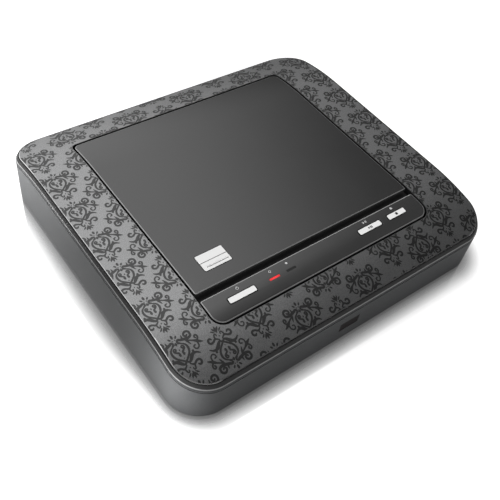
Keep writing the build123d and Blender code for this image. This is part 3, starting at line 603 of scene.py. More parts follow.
def right_half():
    """The strokes of the motif's right half, in millimetres from its middle."""
    shapes = [
        oval(2.0, 11.1, 2.1, 1.1, math.radians(50)),
        oval(0.75, 9.7, 1.0, 0.6, math.radians(60)),
        oval(2.1, 4.1, 1.2, 1.2),
        oval(6.3, -0.1, 1.5, 1.5),
    ]
    for points, widths in (
        ([(2.4, 7.2), (1.7, 7.5), (1.3, 8.4), (2.2, 9.0), (3.4, 8.5), (5.5, 7.9), (7.8, 7.5)],
         [0.5, 0.7, 0.9, 1.1, 1.2, 1.3, 1.2]),
        ([(4.6, 8.3), (4.9, 9.4), (5.0, 10.6)], [1.3, 0.7, 0.2]),
        ([(7.8, 7.5), (9.6, 8.0), (10.1, 9.2), (9.9, 10.7), (8.4, 11.5), (6.9, 10.8), (6.6, 9.5),
          (7.6, 8.9), (8.3, 9.5)], [1.2, 1.1, 1.0, 1.0, 1.0, 0.9, 0.9, 0.8, 0.7]),
        ([(6.4, 6.3), (6.9, 5.0), (7.4, 3.7)], [1.0, 0.7, 0.25]),
        ([(6.1, 6.8), (7.8, 5.9), (9.4, 5.0), (11.0, 3.9), (12.2, 3.0), (14.0, 2.0)],
         [0.8, 0.6, 0.7, 1.4, 1.2, 0.3]),
        ([(11.4, 3.9), (12.6, 5.0), (12.9, 6.4), (12.0, 7.2), (11.2, 6.4), (11.6, 5.6)],
         [0.8, 0.7, 0.7, 0.7, 0.7, 0.7]),
        ([(11.1, 3.0), (11.0, 1.0), (9.6, -0.2), (8.3, 0.4), (8.1, 1.8), (9.2, 2.2)],
         [0.7, 0.6, 0.6, 0.6, 0.6, 0.6]),
        ([(1.2, 7.2), (3.2, 6.3), (4.7, 4.8), (5.0, 2.6), (4.2, 0.3), (2.6, -1.4), (0, -3.6),
          (-1.3, -4.6)], [0.4, 0.6, 0.8, 1.0, 0.9, 0.8, 0.8, 0.9]),
        ([(1.2, 0.6), (1.3, 2.2), (2.2, 2.9), (3.1, 3.7), (3.1, 4.9), (2.2, 5.3), (1.6, 4.6),
          (2.2, 3.9)], [0.5, 0.7, 0.8, 0.8, 0.7, 0.6, 0.5, 0.5]),
        ([(1.15, 2.4), (1.15, 1.4), (1.2, 0.6)], [0.7, 1.0, 1.0]),
        ([(1.15, 0.9), (1.8, 1.0)], [0.5, 0.4]),
        ([(1.5, -4.8), (2.9, -3.6), (4.4, -2.0), (5.9, -1.3), (7.7, -1.6), (9.3, -2.8)],
         [0.7, 1.5, 1.7, 1.3, 0.9, 0.4]),
        ([(1.0, -5.4), (2.6, -6.6), (3.6, -6.6), (4.9, -5.7), (6.4, -5.5), (7.4, -6.4), (7.1, -7.8),
          (5.9, -8.3), (5.2, -7.6)], [0.4, 0.8, 0.9, 0.9, 1.0, 1.0, 1.0, 0.9, 0.6]),
        ([(3.0, -6.6), (2.9, -8.0), (2.3, -9.2), (1.5, -9.0), (1.4, -8.2)],
         [0.7, 0.65, 0.6, 0.55, 0.5]),
        ([(1.5, -10.0), (2.4, -10.9), (3.3, -11.5)], [0.3, 0.7, 0.1]),
        ([(0.7, -10.6), (1.3, -11.8), (1.8, -12.9)], [0.4, 0.8, 0.1]),
    ):
        shapes += stroke(points, widths)
    return shapes


def motif_mesh():
    """Both halves and the middle of the motif, melted into one flat sheet of triangles."""
    shapes = right_half()
    shapes += [[Vector((-spot.x, spot.y)) for spot in reversed(shape)] for shape in shapes]
    shapes += [
        oval(0, 12.0, 2.5, 1.5, math.pi / 2),
        lozenge(0, 7.3, 2.1, 2.4),
        lozenge(0, 3.6, 0.9, 1.6),
        lozenge(0, -1.5, 0.8, 0.9),
        lozenge(0, -7.3, 0.9, 1.2),
    ]
    shapes += stroke([(0, -9.6), (0, -10.8), (0, -12.0), (0, -13.5)], [0.4, 1.0, 1.1, 0.1])
    spots = []
    lines = []
    cells = {}
    for shape in shapes:
        first, count = len(spots), len(shape)
        lines += [(first + i, first + (i + 1) % count) for i in range(count)]
        spots += shape
        for i in range(1, count - 1):
            corners = [shape[0], shape[i], shape[i + 1]]
            xs = [math.floor(spot.x) for spot in corners]
            ys = [math.floor(spot.y) for spot in corners]
            for cell_x in range(min(xs), max(xs) + 1):
                for cell_y in range(min(ys), max(ys) + 1):
                    cells.setdefault((cell_x, cell_y), []).append(corners)
    found = geometry.delaunay_2d_cdt(spots, lines, [], 0, 1e-5)
    kept = []
    for face in found[2]:
        spot = sum((found[0][i] for i in face), Vector((0, 0))) / len(face)
        near = cells.get((math.floor(spot.x), math.floor(spot.y)), ())
        if any(geometry.intersect_point_tri_2d(spot, *corners) for corners in near):
            kept.append(face)
    mesh = bpy.data.meshes.new("motif")
    mesh.from_pydata([(spot.x * mm, spot.y * mm, 0) for spot in found[0]], [], kept)
    return mesh


upright = (  # the middles of the copies, in millimetres
    [(-112.9, 110.2), (-112.9, 81.9), (-112.0, 53.6)]
    + [(-112.9, y) for y in (25.7, -2.7, -30.9, -59.6, -88.9, -117.0)]
    + [(-64.2, -90.0), (-64.2, -119.4), (-61.4, 80.1), (-61.4, 110.4), (-38.3, -105.8),
       (-38.3, -75.8), (-36.8, 91.6), (-36.8, 120.0), (11.3, -106.0), (11.3, -76.6), (12.3, 94.3),
       (40.05, -91.4), (40.05, -121.0), (40.7, 79.0), (40.7, 108.3), (89.3, 107.9), (89.0, 78.0),
       (88.4, 49.2), (87.6, 22.5), (87.2, -5.8), (87.8, -33.7), (88.6, -62.6), (89.6, -91.6),
       (89.9, -120.0), (114.9, 91.4), (114.4, 63.5), (113.6, 35.5), (112.9, 7.1), (113.4, -20.8),
       (114.1, -48.3), (114.8, -76.6), (115.2, -107.7)]
)
turned = (
    (-84.6, 102.1), (-86.5, 73.5), (-88.0, 44.9), (-88.2, 18.2), (-88.7, -10.3), (-89.3, -38.4),
    (-89.2, -67.2), (-89.1, -96.1), (-13.4, -84.5), (-13.4, -113.9), (-11.8, 85.7),
    (-11.8, 116.4), (64.6, -98.1), (64.6, -69.7), (65.4, 100.4),
)


def tangents(half_x, front, rear, front_corner, rear_corner, turns):
    """The straight cuts that bound a rounded outline: a point on each, and the way out."""
    cuts = [((half_x, 0), (1, 0)), ((-half_x, 0), (-1, 0))]
    cuts += [((0, front), (0, -1)), ((0, rear), (0, 1))]
    for side in (-1, 1):
        for place, radius, way in ((front, front_corner, -1), (rear, rear_corner, 1)):
            for i in range(1, turns):
                angle = math.pi / 2 * i / turns
                out = (side * math.cos(angle), way * math.sin(angle))
                hub = (side * (half_x - radius), place - way * radius)
                cuts.append(((hub[0] + out[0] * radius, hub[1] + out[1] * radius), out))
    return cuts


def inside(x, y, cuts):
    return all((x - spot[0]) * out[0] + (y - spot[1]) * out[1] < 0.002 * mm for spot, out in cuts)


def join(*pieces):
    """Makes one piece of several. It keeps the first one's name."""
    take(*pieces)
    bpy.ops.object.join()
    return pieces[0]


motif = motif_mesh()
copies = []
for places, turn in ((upright, 0), (turned, math.pi)):
    for x, y in places:
        copy = bring_in("damask_print", motif.copy())
        copy.data.transform(Matrix.Translation((x * mm, y * mm, 0)) @ Matrix.Rotation(turn, 4, "Z"))
        copies.append(copy)
damask = join(*copies)
edit(damask)
bare_edge = 0.5 * mm
outline = tangents(plate_half_x - bare_edge, bare_edge - plate_half_y, plate_half_y - bare_edge,
                   plate_corner - bare_edge, plate_corner - bare_edge, 8)
for spot, out in outline:
    slice_at((*spot, 0), (*out, 0), trim=True)
bare_rim = 0.2 * mm
outline = tangents(opening_half_x + bare_rim, opening_front - bare_rim, opening_rear + bare_rim,
                   opening_front_corner + bare_rim, opening_rear_corner + bare_rim, 3)
for spot, out in outline:
    slice_at((*spot, 0), (*out, 0))
pick("FACE", lambda at, part: inside(at.x, at.y, outline))
bpy.ops.mesh.delete(type="FACE")
take_all()
bpy.ops.transform.translate(value=(0, 0, 0.035 * mm))
done()
lay_on_crown(damask)

lacquer = Finish("smoky_lacquer", Metallic=1.0)
grit = lacquer.speckle(0.25 * mm, 3.0, 0.6)
lacquer.set(Base_Color=lacquer.tint(lacquer.between(grit, 0.3, 0.7), 0.07, 0.1))
lacquer.set(Roughness=0.34 + 0.1 * grit)
lacquer.relief(grit, 0.01 * mm, 0.4)
fit(damask, "case", lacquer, "printed_metal", merge=0.0005 * mm, sheet=True)


# Lid
# The outer skin is one sheet of glossy black plastic. Its edge has a small round, painted
# lighter as a highlight, and a hole near its front left corner takes the opening pad.
lid_half_x = 86.6 * mm
lid_front = -60.7 * mm
lid_rear = 86.0 * mm
lid_thick = 1.8 * mm
edge_round = 0.8 * mm
pad_x = -62.2 * mm
pad_y = -43.7 * mm
pad_length = 19.4 * mm
pad_depth = 12.3 * mm
pad_gap = 0.3 * mm
through = 5 * mm


def round_top(high, width, steps):
    """Rounds the edges that lie at one height."""
    pick("EDGE", lambda at, part: all(meets(end.co.z, high) for end in part.verts))
    round_off(width, steps)


def centred(name, x, y, length, depth, low, high, corner):
    """A flat block about its middle, with all its corners alike."""
    return slab(name, x - length / 2, x + length / 2, y - depth / 2, y + depth / 2, low, high,
                corner, corner, turns=5)


def near_pad(at, beside, along):
    return abs(at.x - pad_x) < beside and abs(at.y - pad_y) < along


lid = slab("lid_skin", -lid_half_x, lid_half_x, lid_front, lid_rear, -lid_thick, 0,
           1.5 * mm, 4.3 * mm, 8)
round_top(0, edge_round, 2)
done()
hole = centred("pad_hole", pad_x, pad_y, pad_length + 2 * pad_gap, pad_depth + 2 * pad_gap,
               -through, through, 1.0 * mm)
done()
cut_out(lid, hole)
edit(lid)
pick("EDGE", lambda at, part: meets(at.z, 0) and near_pad(at, 10.1 * mm, 6.55 * mm))
round_off(0.15 * mm, 2)
cut_across(stations(lid_rear, 2 * mm))
done()
lay_on_crown(lid)

# A lighter, half-metallic grey for rounded edges: a painted highlight along them.
painted_edge_highlight = Finish("painted_edge_highlight", Metallic=0.6)
painted_edge_highlight.vary(painted_edge_highlight.speckle(5 * mm, 3.0, 0.6), 0.26, 0.32, 0.24, 0.1)
piano_black = Finish("glossy_black", Specular_IOR_Level=0.9)
piano_black.vary(piano_black.speckle(30 * mm, 3.0, 0.6), 0.017, 0.023, 0.1, 0.07)
piano_black.relief(piano_black.speckle(4 * mm, 1.0), 0.004 * mm, 0.3)
# The lid's edge round gets the painted highlight.
second_finish(lid, painted_edge_highlight, lambda at, way: 0.7 < way.z < 0.97
              and at.z > crown(at.y, 0.5 * mm) and not near_pad(at, 11 * mm, 8 * mm))
fit(lid, "lid", piano_black, "gloss_black", "lid_panel")


# Lid's inner moulding
# A black tray under the glossy skin carries the hinge knuckles, the ribs, the ring that
# rests over the disc, and the tongue of the latch.
slot_of = {row["node"]: row["material_slot"] for row in frame["record"]["subparts"]}


def keep(node, finish, crease=30):
    """Gives a solid whose shape is right its finish, smoothed between its creases."""
    body = frame["nodes"][node]["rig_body"]
    return fit(merged_copy(node, node + "_finished"), body, finish, slot_of[node], node,
               crease=crease)


keep("lid_inner", matt_black)


# Opening pad
# A white pad in the lid's corner, split by a fine step, with a ridge for the fingertip. It
# sinks into the lid when pressed, and a flange under the skin holds it in its hole.
pad_proud = 0.3 * mm
step_half = 0.22 * mm
shadow_front = -4.25 * mm
shadow_rear = -3.8 * mm
shadow_left = -7.1 * mm
shadow_right = 8.3 * mm
groove_deep = 0.4 * mm
ridge_top = 0.6 * mm
hair = 0.01 * mm

white = Finish("white_plastic", Coat_Weight=0.3, Coat_Roughness=0.12)
white.vary(white.speckle(6 * mm, 3.0, 0.6), (0.86, 0.86, 0.855, 1), (0.89, 0.89, 0.885, 1),
           0.25, 0.1)
white.relief(white.speckle(1.2 * mm, 2.0), 0.004 * mm, 0.4)


def in_groove(at):
    """The step across the pad, and the shadow line in front of its ridge."""
    beside, along = at.x - pad_x, at.y - pad_y
    in_shadow = shadow_front - hair < along < shadow_rear + hair
    return abs(along) < step_half + hair or (
        in_shadow and shadow_left - hair < beside < shadow_right + hair)


pad = centred("opening_pad", pad_x, pad_y, pad_length, pad_depth, -2.1 * mm, pad_proud, 0.7 * mm)
round_top(pad_proud, 0.2 * mm, 3)
cut_across([pad_y + place for place in (shadow_front, shadow_rear, -step_half, step_half)])
cut_across([pad_x + place for place in (shadow_left, shadow_right)], (1, 0, 0))
pick("FACE", lambda at, part: part.normal.z > 0.9 and at.z > pad_proud - hair and in_groove(at))
raise_by(-groove_deep)
done()
pad.data.materials.append(white.material)
# Painted shade: the sunk step and the shadow line in front of the ridge are black.
second_finish(pad, painted_shade_black, lambda at, way: in_groove(at) and abs(at.z) < 0.2 * mm)
flange = centred("pad_flange", pad_x, pad_y, pad_length + 2 * mm, pad_depth + 2 * mm,
                 -2.75 * mm, -1.95 * mm, 1.2 * mm)
done()
ridge = centred("pad_ridge", pad_x + 0.6 * mm, pad_y - 3.6 * mm, pad_length - 4 * mm, 0.5 * mm,
                0.2 * mm, ridge_top, 0.2 * mm)
round_top(ridge_top, 0.12 * mm, 2)
done()
join(pad, flange, ridge)
# Painted shade: the pad below the lid's surface, its flange included, is black.
second_finish(pad, painted_shade_black, lambda at, way: at.z < -0.6 * mm)
lay_on_crown(pad)
fit(pad, "opener", white, "white_gloss", "open_button")


# Control bar
# One glossy black moulding in front of the lid, rounded at its edges and front corners,
# hollow below, with holes for three buttons and two lights and posts for its screws.
bar_half_x = 86.8 * mm
bar_front = -84.0 * mm
bar_rear = -65.4 * mm
bar_wall = 1.4 * mm
bar_foot = -8.6 * mm
bar_front_corner = 7.5 * mm
bar_fall = 0.55 * mm
row_y = -73.9 * mm
buttons = (  # name, middle in X, length
    ("power", -62.4 * mm, 19.2 * mm), ("play", 40.2 * mm, 19.0 * mm),
    ("stop", 64.5 * mm, 15.4 * mm),
)
lights = (("standby", -38.5 * mm, 7.6 * mm), ("on", -25.6 * mm, 7.0 * mm))
post_places = (-80.0 * mm, -8.0 * mm, 20.0 * mm, 80.0 * mm)


def peg(x, y, low, high, radius, sides, lead, steps):
    """An upright round peg with a rounded lower edge, left in edit mode."""
    bpy.ops.mesh.primitive_cylinder_add(vertices=sides, radius=radius, depth=high - low)
    piece = bpy.context.object
    piece.data.transform(Matrix.Translation((x, y, (low + high) / 2)))
    edit(piece)
    pick("EDGE", lambda at, part: all(meets(end.co.z, low) for end in part.verts))
    round_off(lead, steps)
    return piece


def camber(piece):
    """Lets the upper part of a piece fall away towards the front and the back of the bar."""
    half_deep = (bar_rear - bar_front) / 2
    for vertex in piece.data.vertices:
        if vertex.co.z > -1 * mm:
            off_middle = (vertex.co.y - bar_front) / half_deep - 1
            vertex.co.z -= bar_fall * off_middle**2


bar = slab("control_bar", -bar_half_x, bar_half_x, bar_front, bar_rear, bar_foot, 0,
           bar_front_corner, 1.5 * mm, 10)
round_top(0, edge_round, 2)
done()
hollow = slab("hollow", bar_wall - bar_half_x, bar_half_x - bar_wall, bar_front + bar_wall,
              bar_rear - bar_wall, -12 * mm, -2.2 * mm, bar_front_corner - bar_wall, 0.5 * mm, 8)
done()
cut_out(bar, hollow)
holes = [(x, length + 1.2 * mm, 4.8 * mm, 1.2 * mm) for name, x, length in buttons]
holes += [(x, length + 0.1 * mm, 1.4 * mm, 0.4 * mm) for name, x, length in lights]
for x, length, depth, corner in holes:
    hole = centred("hole", x, row_y, length, depth, -through, through, corner)
    done()
    cut_out(bar, hole)
edit(bar)
pick("EDGE", lambda at, part: all(meets(end.co.z, 0) and abs(end.co.y - row_y) < 2.3 * mm
                                  for end in part.verts))
round_off(0.12 * mm, 2)
cut_across([y * mm for y in (-82, -80, -78, -76, -74, -72, -70, -68, -66.6)])
done()
posts = []
for x in post_places:
    posts.append(peg(x, row_y, -7.7 * mm, -2.1 * mm, 2.2 * mm, 24, 0.3 * mm, 2))
    done()
join(bar, *posts)
camber(bar)
lay_on_crown(bar)

bar_black = Finish("bar_black", Specular_IOR_Level=0.85)
bar_black.vary(bar_black.speckle(25 * mm, 3.0, 0.6), 0.026, 0.034, 0.13, 0.08)
bar_black.relief(bar_black.speckle(3 * mm, 1.0), 0.004 * mm, 0.3)
# A light grey strip along the bar's rear edge: a painted highlight.
painted_rear_highlight = Finish("painted_rear_highlight", Roughness=0.3)
painted_rear_highlight.set(Base_Color=painted_rear_highlight.tint(painted_rear_highlight.speckle(5 * mm, 3.0, 0.6), 0.4, 0.5))
rear_strip = -66.3 * mm


def on_bar_edge(at, way):
    """The round along the bar's outline, away from the rounds of its holes."""
    outside = abs(at.y - row_y) > 6 * mm or abs(at.x) > 82 * mm
    return outside and 0.6 < way.z < 0.965 and crown(at.y, 1.5 * mm) < at.z


# Painted highlight on the round along the bar's outline.
second_finish(bar, painted_edge_highlight, on_bar_edge)
# Painted highlight: a light strip along the rear edge, on top.
second_finish(bar, painted_rear_highlight, lambda at, way: at.y > rear_strip and way.z > 0.3
              and crown(at.y, 1.5 * mm) < at.z)
# Painted shade: the bar's outer sides and the walls of its holes are black.
second_finish(bar, painted_shade_black, lambda at, way: at.y < rear_strip and way.z < 0.6)
fit(bar, "case", bar_black, "gloss_black", "control_panel")


# Three buttons
# White caps stand a little proud of the bar. Under each, a flange keeps it in its hole and
# a stem reaches down to the switch.
cap_proud = 0.25 * mm
stem_top = -2.75 * mm


def stand_above(piece, low):
    """Levels the foot of a draped piece, so that nothing of it reaches below its solid."""
    for vertex in piece.data.vertices:
        vertex.co.z = max(vertex.co.z, low)


for name, x, length in buttons:
    solid = name + "_button"
    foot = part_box(solid)[0].z
    cap = centred(name + "_cap", x, row_y, length, 3.6 * mm, -3.0 * mm, cap_proud, 0.7 * mm)
    round_top(cap_proud, 0.2 * mm, 3)
    done()
    flange = centred("flange", x, row_y, length + 2.4 * mm, 6.0 * mm, -3.55 * mm, -2.55 * mm,
                     0.7 * mm)
    done()
    stem = peg(x, row_y, foot - crown(row_y, 0), stem_top, 1.5 * mm, 20, 0.2 * mm, 2)
    done()
    join(cap, flange, stem)
    # Painted shade: each cap below the bar's surface, with its flange and stem, is black for the
    # gap round it.
    second_finish(cap, painted_shade_black, lambda at, way: at.z < -0.6 * mm)
    lay_on_crown(cap)
    stand_above(cap, foot)
    fit(cap, name + "_key", white, "white_gloss", solid)


# Signs on the bar
# Small signs are printed in grey ink by the buttons and lights, and in dark ink on two of
# the caps: bars, dots, rings and arrowheads, a hair above the surface.
ink_height = 0.035 * mm


def sign(name, proud, *shapes):
    """A flat print of simple shapes: each has its place, length and width in millimetres."""
    piece = bring_in(name, bpy.data.meshes.new(name))
    edit(piece)
    bpy.ops.mesh.select_mode(type="FACE")
    for kind, x, y, length, width in shapes:
        bpy.ops.mesh.select_all(action="DESELECT")
        spot = (x * mm, row_y + y * mm, 0)
        if kind == "bar":
            bpy.ops.mesh.primitive_plane_add(size=mm)
            bpy.ops.transform.resize(value=(length, width, 1))
            bpy.ops.transform.translate(value=spot)
            continue
        corners, turn = (3, -math.pi / 2) if kind == "arrow" else (24, 0)
        bpy.ops.mesh.primitive_circle_add(vertices=corners, radius=length / 2 * mm,
                                          fill_type="NGON", location=spot, rotation=(0, 0, turn))
        if kind == "ring":
            bpy.ops.mesh.inset(thickness=width * mm, depth=0)
            bpy.ops.mesh.delete(type="FACE")
    take_all()
    bpy.ops.transform.translate(value=(0, 0, proud + ink_height))
    done()
    camber(piece)
    lay_on_crown(piece)
    return piece


ink = Finish("grey_ink", Roughness=0.6)
ink.set(Base_Color=ink.tint(ink.speckle(0.15 * mm, 3.0), 0.55, 0.68))
dark_ink = Finish("dark_ink", Roughness=0.6)
dark_ink.set(Base_Color=dark_ink.tint(dark_ink.speckle(0.15 * mm, 3.0), 0.012, 0.025))
for name, *shapes in (
    ("power_sign", ("ring", -62.6, 5.1, 2.0, 0.28), ("bar", -62.6, 5.9, 0.3, 1.1)),
    ("standby_sign", ("ring", -38.7, 4.9, 1.7, 0.3)),
    ("on_sign", ("dot", -25.9, 4.9, 1.5, 0)),
    ("play_sign", ("arrow", 38.8, 5.2, 2.0, 0), ("bar", 40.4, 5.2, 0.4, 1.6),
     ("bar", 41.2, 5.2, 0.4, 1.6)),
    ("stop_sign", ("bar", 64.3, 5.3, 1.6, 1.6)),
):
    fit(sign(name, 0, *shapes), "case", ink, "grey_plastic")
for name, body, *shapes in (
    ("play_mark", "play_key", ("arrow", 39.3, 0, 2.1, 0), ("bar", 40.8, 0, 0.6, 1.8),
     ("bar", 41.8, 0, 0.6, 1.8)),
    ("stop_mark", "stop_key", ("bar", 64.5, 0, 1.8, 1.8)),
):
    fit(sign(name, cap_proud, *shapes), body, dark_ink, "black_plastic")


# Two lights
# Each is a clear bar in the panel with a leg down to its lamp. One glows red, the other
# is off and dark.
glow = Finish("red_light", Roughness=0.25, Emission_Strength=0.6)
across = glow.node("ShaderNodeSeparateXYZ", {}, {0: glow.place})
far = glow.reckon_of("ABSOLUTE", across - lights[0][1])
heat = glow.between(far, 0.5 * mm, 4.0 * mm, 1.0, 0.35)
glow.set(Base_Color=(0.5, 0.01, 0.01, 1))
glow.set(Emission_Color=glow.tint(heat, (0.35, 0.006, 0.01, 1), (0.9, 0.05, 0.06, 1)))
unlit = Finish("unlit_light", Roughness=0.2)
unlit.set(Base_Color=unlit.tint(unlit.speckle(1 * mm, 2.0), 0.005, 0.01))
flange_top = -2.2 * mm
leg_top = -4.0 * mm
for (name, x, length), finish, slot in zip(lights, (glow, unlit), ("red_light", "dark_light")):
    solid = name + "_light"
    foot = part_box(solid)[0].z
    window = centred(name + "_window", x, row_y, length, 1.3 * mm, flange_top - 0.1 * mm, 0,
                     0.35 * mm)
    round_top(0, 0.08 * mm, 2)
    done()
    flange = centred("flange", x, row_y, length + 2 * mm, 3.3 * mm, leg_top - 0.2 * mm,
                     flange_top, 0.4 * mm)
    done()
    leg = centred("leg", x, row_y, 3.4 * mm, 2.2 * mm, foot - crown(row_y, 0), leg_top, 0.3 * mm)
    done()
    join(window, flange, leg)
    lay_on_crown(window)
    stand_above(window, foot)
    fit(window, "case", finish, slot, solid)


# Bar's board
# One narrow green board hangs on short posts under the bar. The dark switches and the
# clear lamps are soldered to it.
solder = Finish("green_board")
tracks = solder.node("ShaderNodeTexBrick", {"offset": 0.37, "squash": 1.6}, {
    "Vector": solder.place, "Scale": 220.0, "Mortar Size": 0.06, "Brick Width": 0.9,
    "Row Height": 0.22, "Color1": grey(0), "Color2": grey(0.25), "Mortar": grey(1)})
solder.set(Base_Color=solder.tint(tracks, (0.012, 0.10, 0.035, 1), (0.03, 0.17, 0.06, 1)))
solder.set(Roughness=0.3 + 0.1 * solder.speckle(1 * mm))
chips = Finish("dark_parts")
cells = chips.node("ShaderNodeTexVoronoi", {}, {"Vector": chips.place, "Scale": 75.0}, "Color")
which = chips.node("ShaderNodeSeparateColor", {}, {0: cells})
chips.set(Base_Color=chips.tint(which > 0.7, 0.022, (0.045, 0.06, 0.11, 1)))
chips.set(Roughness=0.38 + 0.2 * chips.speckle(0.8 * mm))
chips.relief(chips.speckle(0.4 * mm), 0.01 * mm, 0.5)
clear = Finish("clear_plastic", Roughness=0.08, Transmission_Weight=0.6, IOR=1.5)
clear.set(Base_Color=clear.tint(clear.speckle(2 * mm), 0.75, 0.85))
keep("control_board", solder)
keep("tact_switches", chips)
keep("indicator_leds", clear)


# Receiver window
# A filter of nearly black red fills the opening in the front wall. The receiver stands
# behind it on its own little board.
filter_red = Finish("dark_filter", Specular_IOR_Level=0.04)
filter_red.set(Base_Color=filter_red.tint(filter_red.speckle(3 * mm), (0.003, 0.002, 0.002, 1),
                                          (0.005, 0.003, 0.003, 1)))
filter_red.set(Roughness=0.26 + 0.08 * filter_red.speckle(5 * mm))
pane_wide = 15.5 * mm
pane_tall = 7.5 * mm
pane_thick = 2.3 * mm
low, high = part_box("ir_window")
pane = centred("receiver_window", 0, 0, pane_wide, pane_tall, -pane_thick, 0, 0.4 * mm)
round_top(0, 0.2 * mm, 3)
done()
flange = centred("window_flange", 0, 0, high.x - low.x, high.z - low.z, low.y - high.y,
                 0.2 * mm - pane_thick, 0.3 * mm)
done()
join(pane, flange)
# Painted shade: the pane's sides and its flange behind the wall are black, inside the opening.
second_finish(pane, painted_shade_black, lambda at, way: at.z < -0.02 * mm)
upright_place = Matrix.Translation(((low.x + high.x) / 2, low.y, (low.z + high.z) / 2))
pane.data.transform(upright_place @ Matrix.Rotation(math.pi / 2, 4, "X"))
fit(pane, "case", filter_red, "ir_plastic", "ir_window")
keep("ir_board", solder)
keep("ir_receiver", chips)


# Feet
# Four low discs of black rubber are glued into round seats under the case. Each has a
# dished sole.
rubber = Finish("black_rubber")
crumb = rubber.speckle(0.4 * mm, 4.0, 0.7)
rubber.vary(crumb, 0.012, 0.03, 0.72, 0.15)
rubber.relief(crumb, 0.03 * mm, 0.7)
foot_x = 98 * mm
foot_y = 78 * mm
foot_high = 2.0 * mm
feet = []
for x, y in ((-foot_x, -foot_y), (foot_x, -foot_y), (-foot_x, foot_y), (foot_x, foot_y)):
    foot = peg(x, y, 0, foot_high, 6.5 * mm, 48, 0.3 * mm, 3)
    foot.name = "feet"
    pick("FACE", lambda at, part: part.normal.z < -0.999)
    bpy.ops.mesh.inset(thickness=2.2 * mm, depth=0)
    bpy.ops.mesh.inset(thickness=0.3 * mm, depth=-0.4 * mm)
    done()
    feet.append(foot)
fit(join(*feet), "case", rubber, "rubber", "rubber_feet")


# Hinges, latch and screws
# Two steel pins carry the lid between lugs of the deck. In front, a black block takes
# the lid's tongue. Steel screws from below close the case.
steel = Finish("bright_steel", Metallic=1.0)
drawn = steel.node("ShaderNodeMapping", {}, {"Vector": steel.place, "Scale": (1, 12, 12)})
lines = steel.node("ShaderNodeTexNoise", {}, {"Vector": drawn, "Scale": 900.0, "Detail": 2.0})
steel.vary(lines, 0.5, 0.62, 0.2, 0.14)
keep("hinge_pins", steel)
keep("latch_unit", matt_black)
keep("case_screws", steel)


# Disc well
# The deck, the round well and the hinge trough are one grey moulding with a fine grain.
# It fills the cover's opening, and the pickup mechanism is screwed to it from below.
well_grey = Finish("well_grey", Specular_IOR_Level=0.3)
leather = well_grey.speckle(0.6 * mm, 4.0, 0.6)
well_grey.vary(leather, 0.024, 0.036, 0.42, 0.16)
well_grey.relief(leather, 0.03 * mm, 0.6)
keep("disc_well", well_grey)


# Turntable
# A black hub and platter with a rubber mat turn on a motor with a zinc-plated can. Three
# steel balls in the hub grip the disc.
hub_black = Finish("hub_black")
swirl = hub_black.speckle(0.8 * mm, 3.0)
hub_black.vary(swirl, 0.03, 0.045, 0.32, 0.12)
hub_black.relief(swirl, 0.01 * mm, 0.4)
zinc = Finish("zinc_plate", Metallic=1.0)
spangle = zinc.node("ShaderNodeTexVoronoi", {}, {"Vector": zinc.place, "Scale": 350.0}, "Color")
patch = zinc.node("ShaderNodeSeparateColor", {}, {0: spangle})
zinc.vary(patch, (0.42, 0.42, 0.40, 1), (0.52, 0.52, 0.50, 1), 0.36, 0.1)
keep("turntable", hub_black)
keep("turntable_mat", rubber)
keep("chuck_balls", steel, crease=60)
keep("spindle_motor", zinc)


# Pickup mechanism
# A zinc plate hangs on four rubber bobbins. The black sled with its lens runs on two steel
# rods, driven by white gears from a small motor.
acetal = Finish("white_acetal")
acetal.vary(acetal.speckle(2 * mm, 3.0), (0.70, 0.70, 0.66, 1), (0.78, 0.78, 0.74, 1), 0.36, 0.12)
lens = Finish("lens_glass", Roughness=0.03, Transmission_Weight=0.5, IOR=1.55, Coat_Weight=0.5)
lens.set(Base_Color=lens.tint(lens.speckle(3 * mm), (0.25, 0.3, 0.5, 1), (0.35, 0.35, 0.6, 1)))
for node, finish in (
    ("mech_plate", zinc), ("rubber_bobbins", rubber), ("mech_screws", steel),
    ("guide_rods", steel), ("rod_clamps", hub_black), ("pickup_sled", hub_black),
    ("laser_block", zinc), ("sled_motor", zinc), ("sled_rack", acetal), ("idler_gear", acetal),
    ("motor_pinion", acetal),
):
    keep(node, finish)
keep("objective_lens", lens, crease=50)


# Main and power boards
# Two green boards lie on posts of the case's floor. Dark chips and capacitors are
# soldered to them.
for ending, finish in (("", solder), ("_parts", chips)):
    keep("main_board" + ending, finish)
    keep("power_board" + ending, finish)


# Sockets at the back
# Six phono sockets with nickelled shells stand in a bay, red and white in turn inside.
# The mains inlet has two pins.
bay_left = 96 * mm
pair_pitch = 26 * mm
bay_face = 102.2 * mm
sleeves = Finish("socket_sleeves")
along = sleeves.node("ShaderNodeSeparateXYZ", {}, {0: sleeves.place})
inward = sleeves.node("ShaderNodeSeparateXYZ", {}, {0: sleeves.place}, "Y")
turn = sleeves.reckon_of("FRACT", (along + bay_left) * (1 / pair_pitch))
pair = sleeves.tint(turn > 0.5, (0.62, 0.62, 0.6, 1), (0.42, 0.02, 0.02, 1))
sleeves.set(Base_Color=sleeves.tint(inward > bay_face, 0.015, pair))
sleeves.set(Roughness=0.34 + 0.12 * sleeves.speckle(1 * mm))
nickel = Finish("bright_nickel", Metallic=1.0)
nickel.vary(nickel.speckle(3 * mm, 3.0), (0.52, 0.50, 0.46, 1), (0.62, 0.60, 0.56, 1), 0.16, 0.12)
keep("jack_block", sleeves)
keep("jack_shells", nickel)
keep("mains_inlet", matt_black)
keep("inlet_pins", nickel)


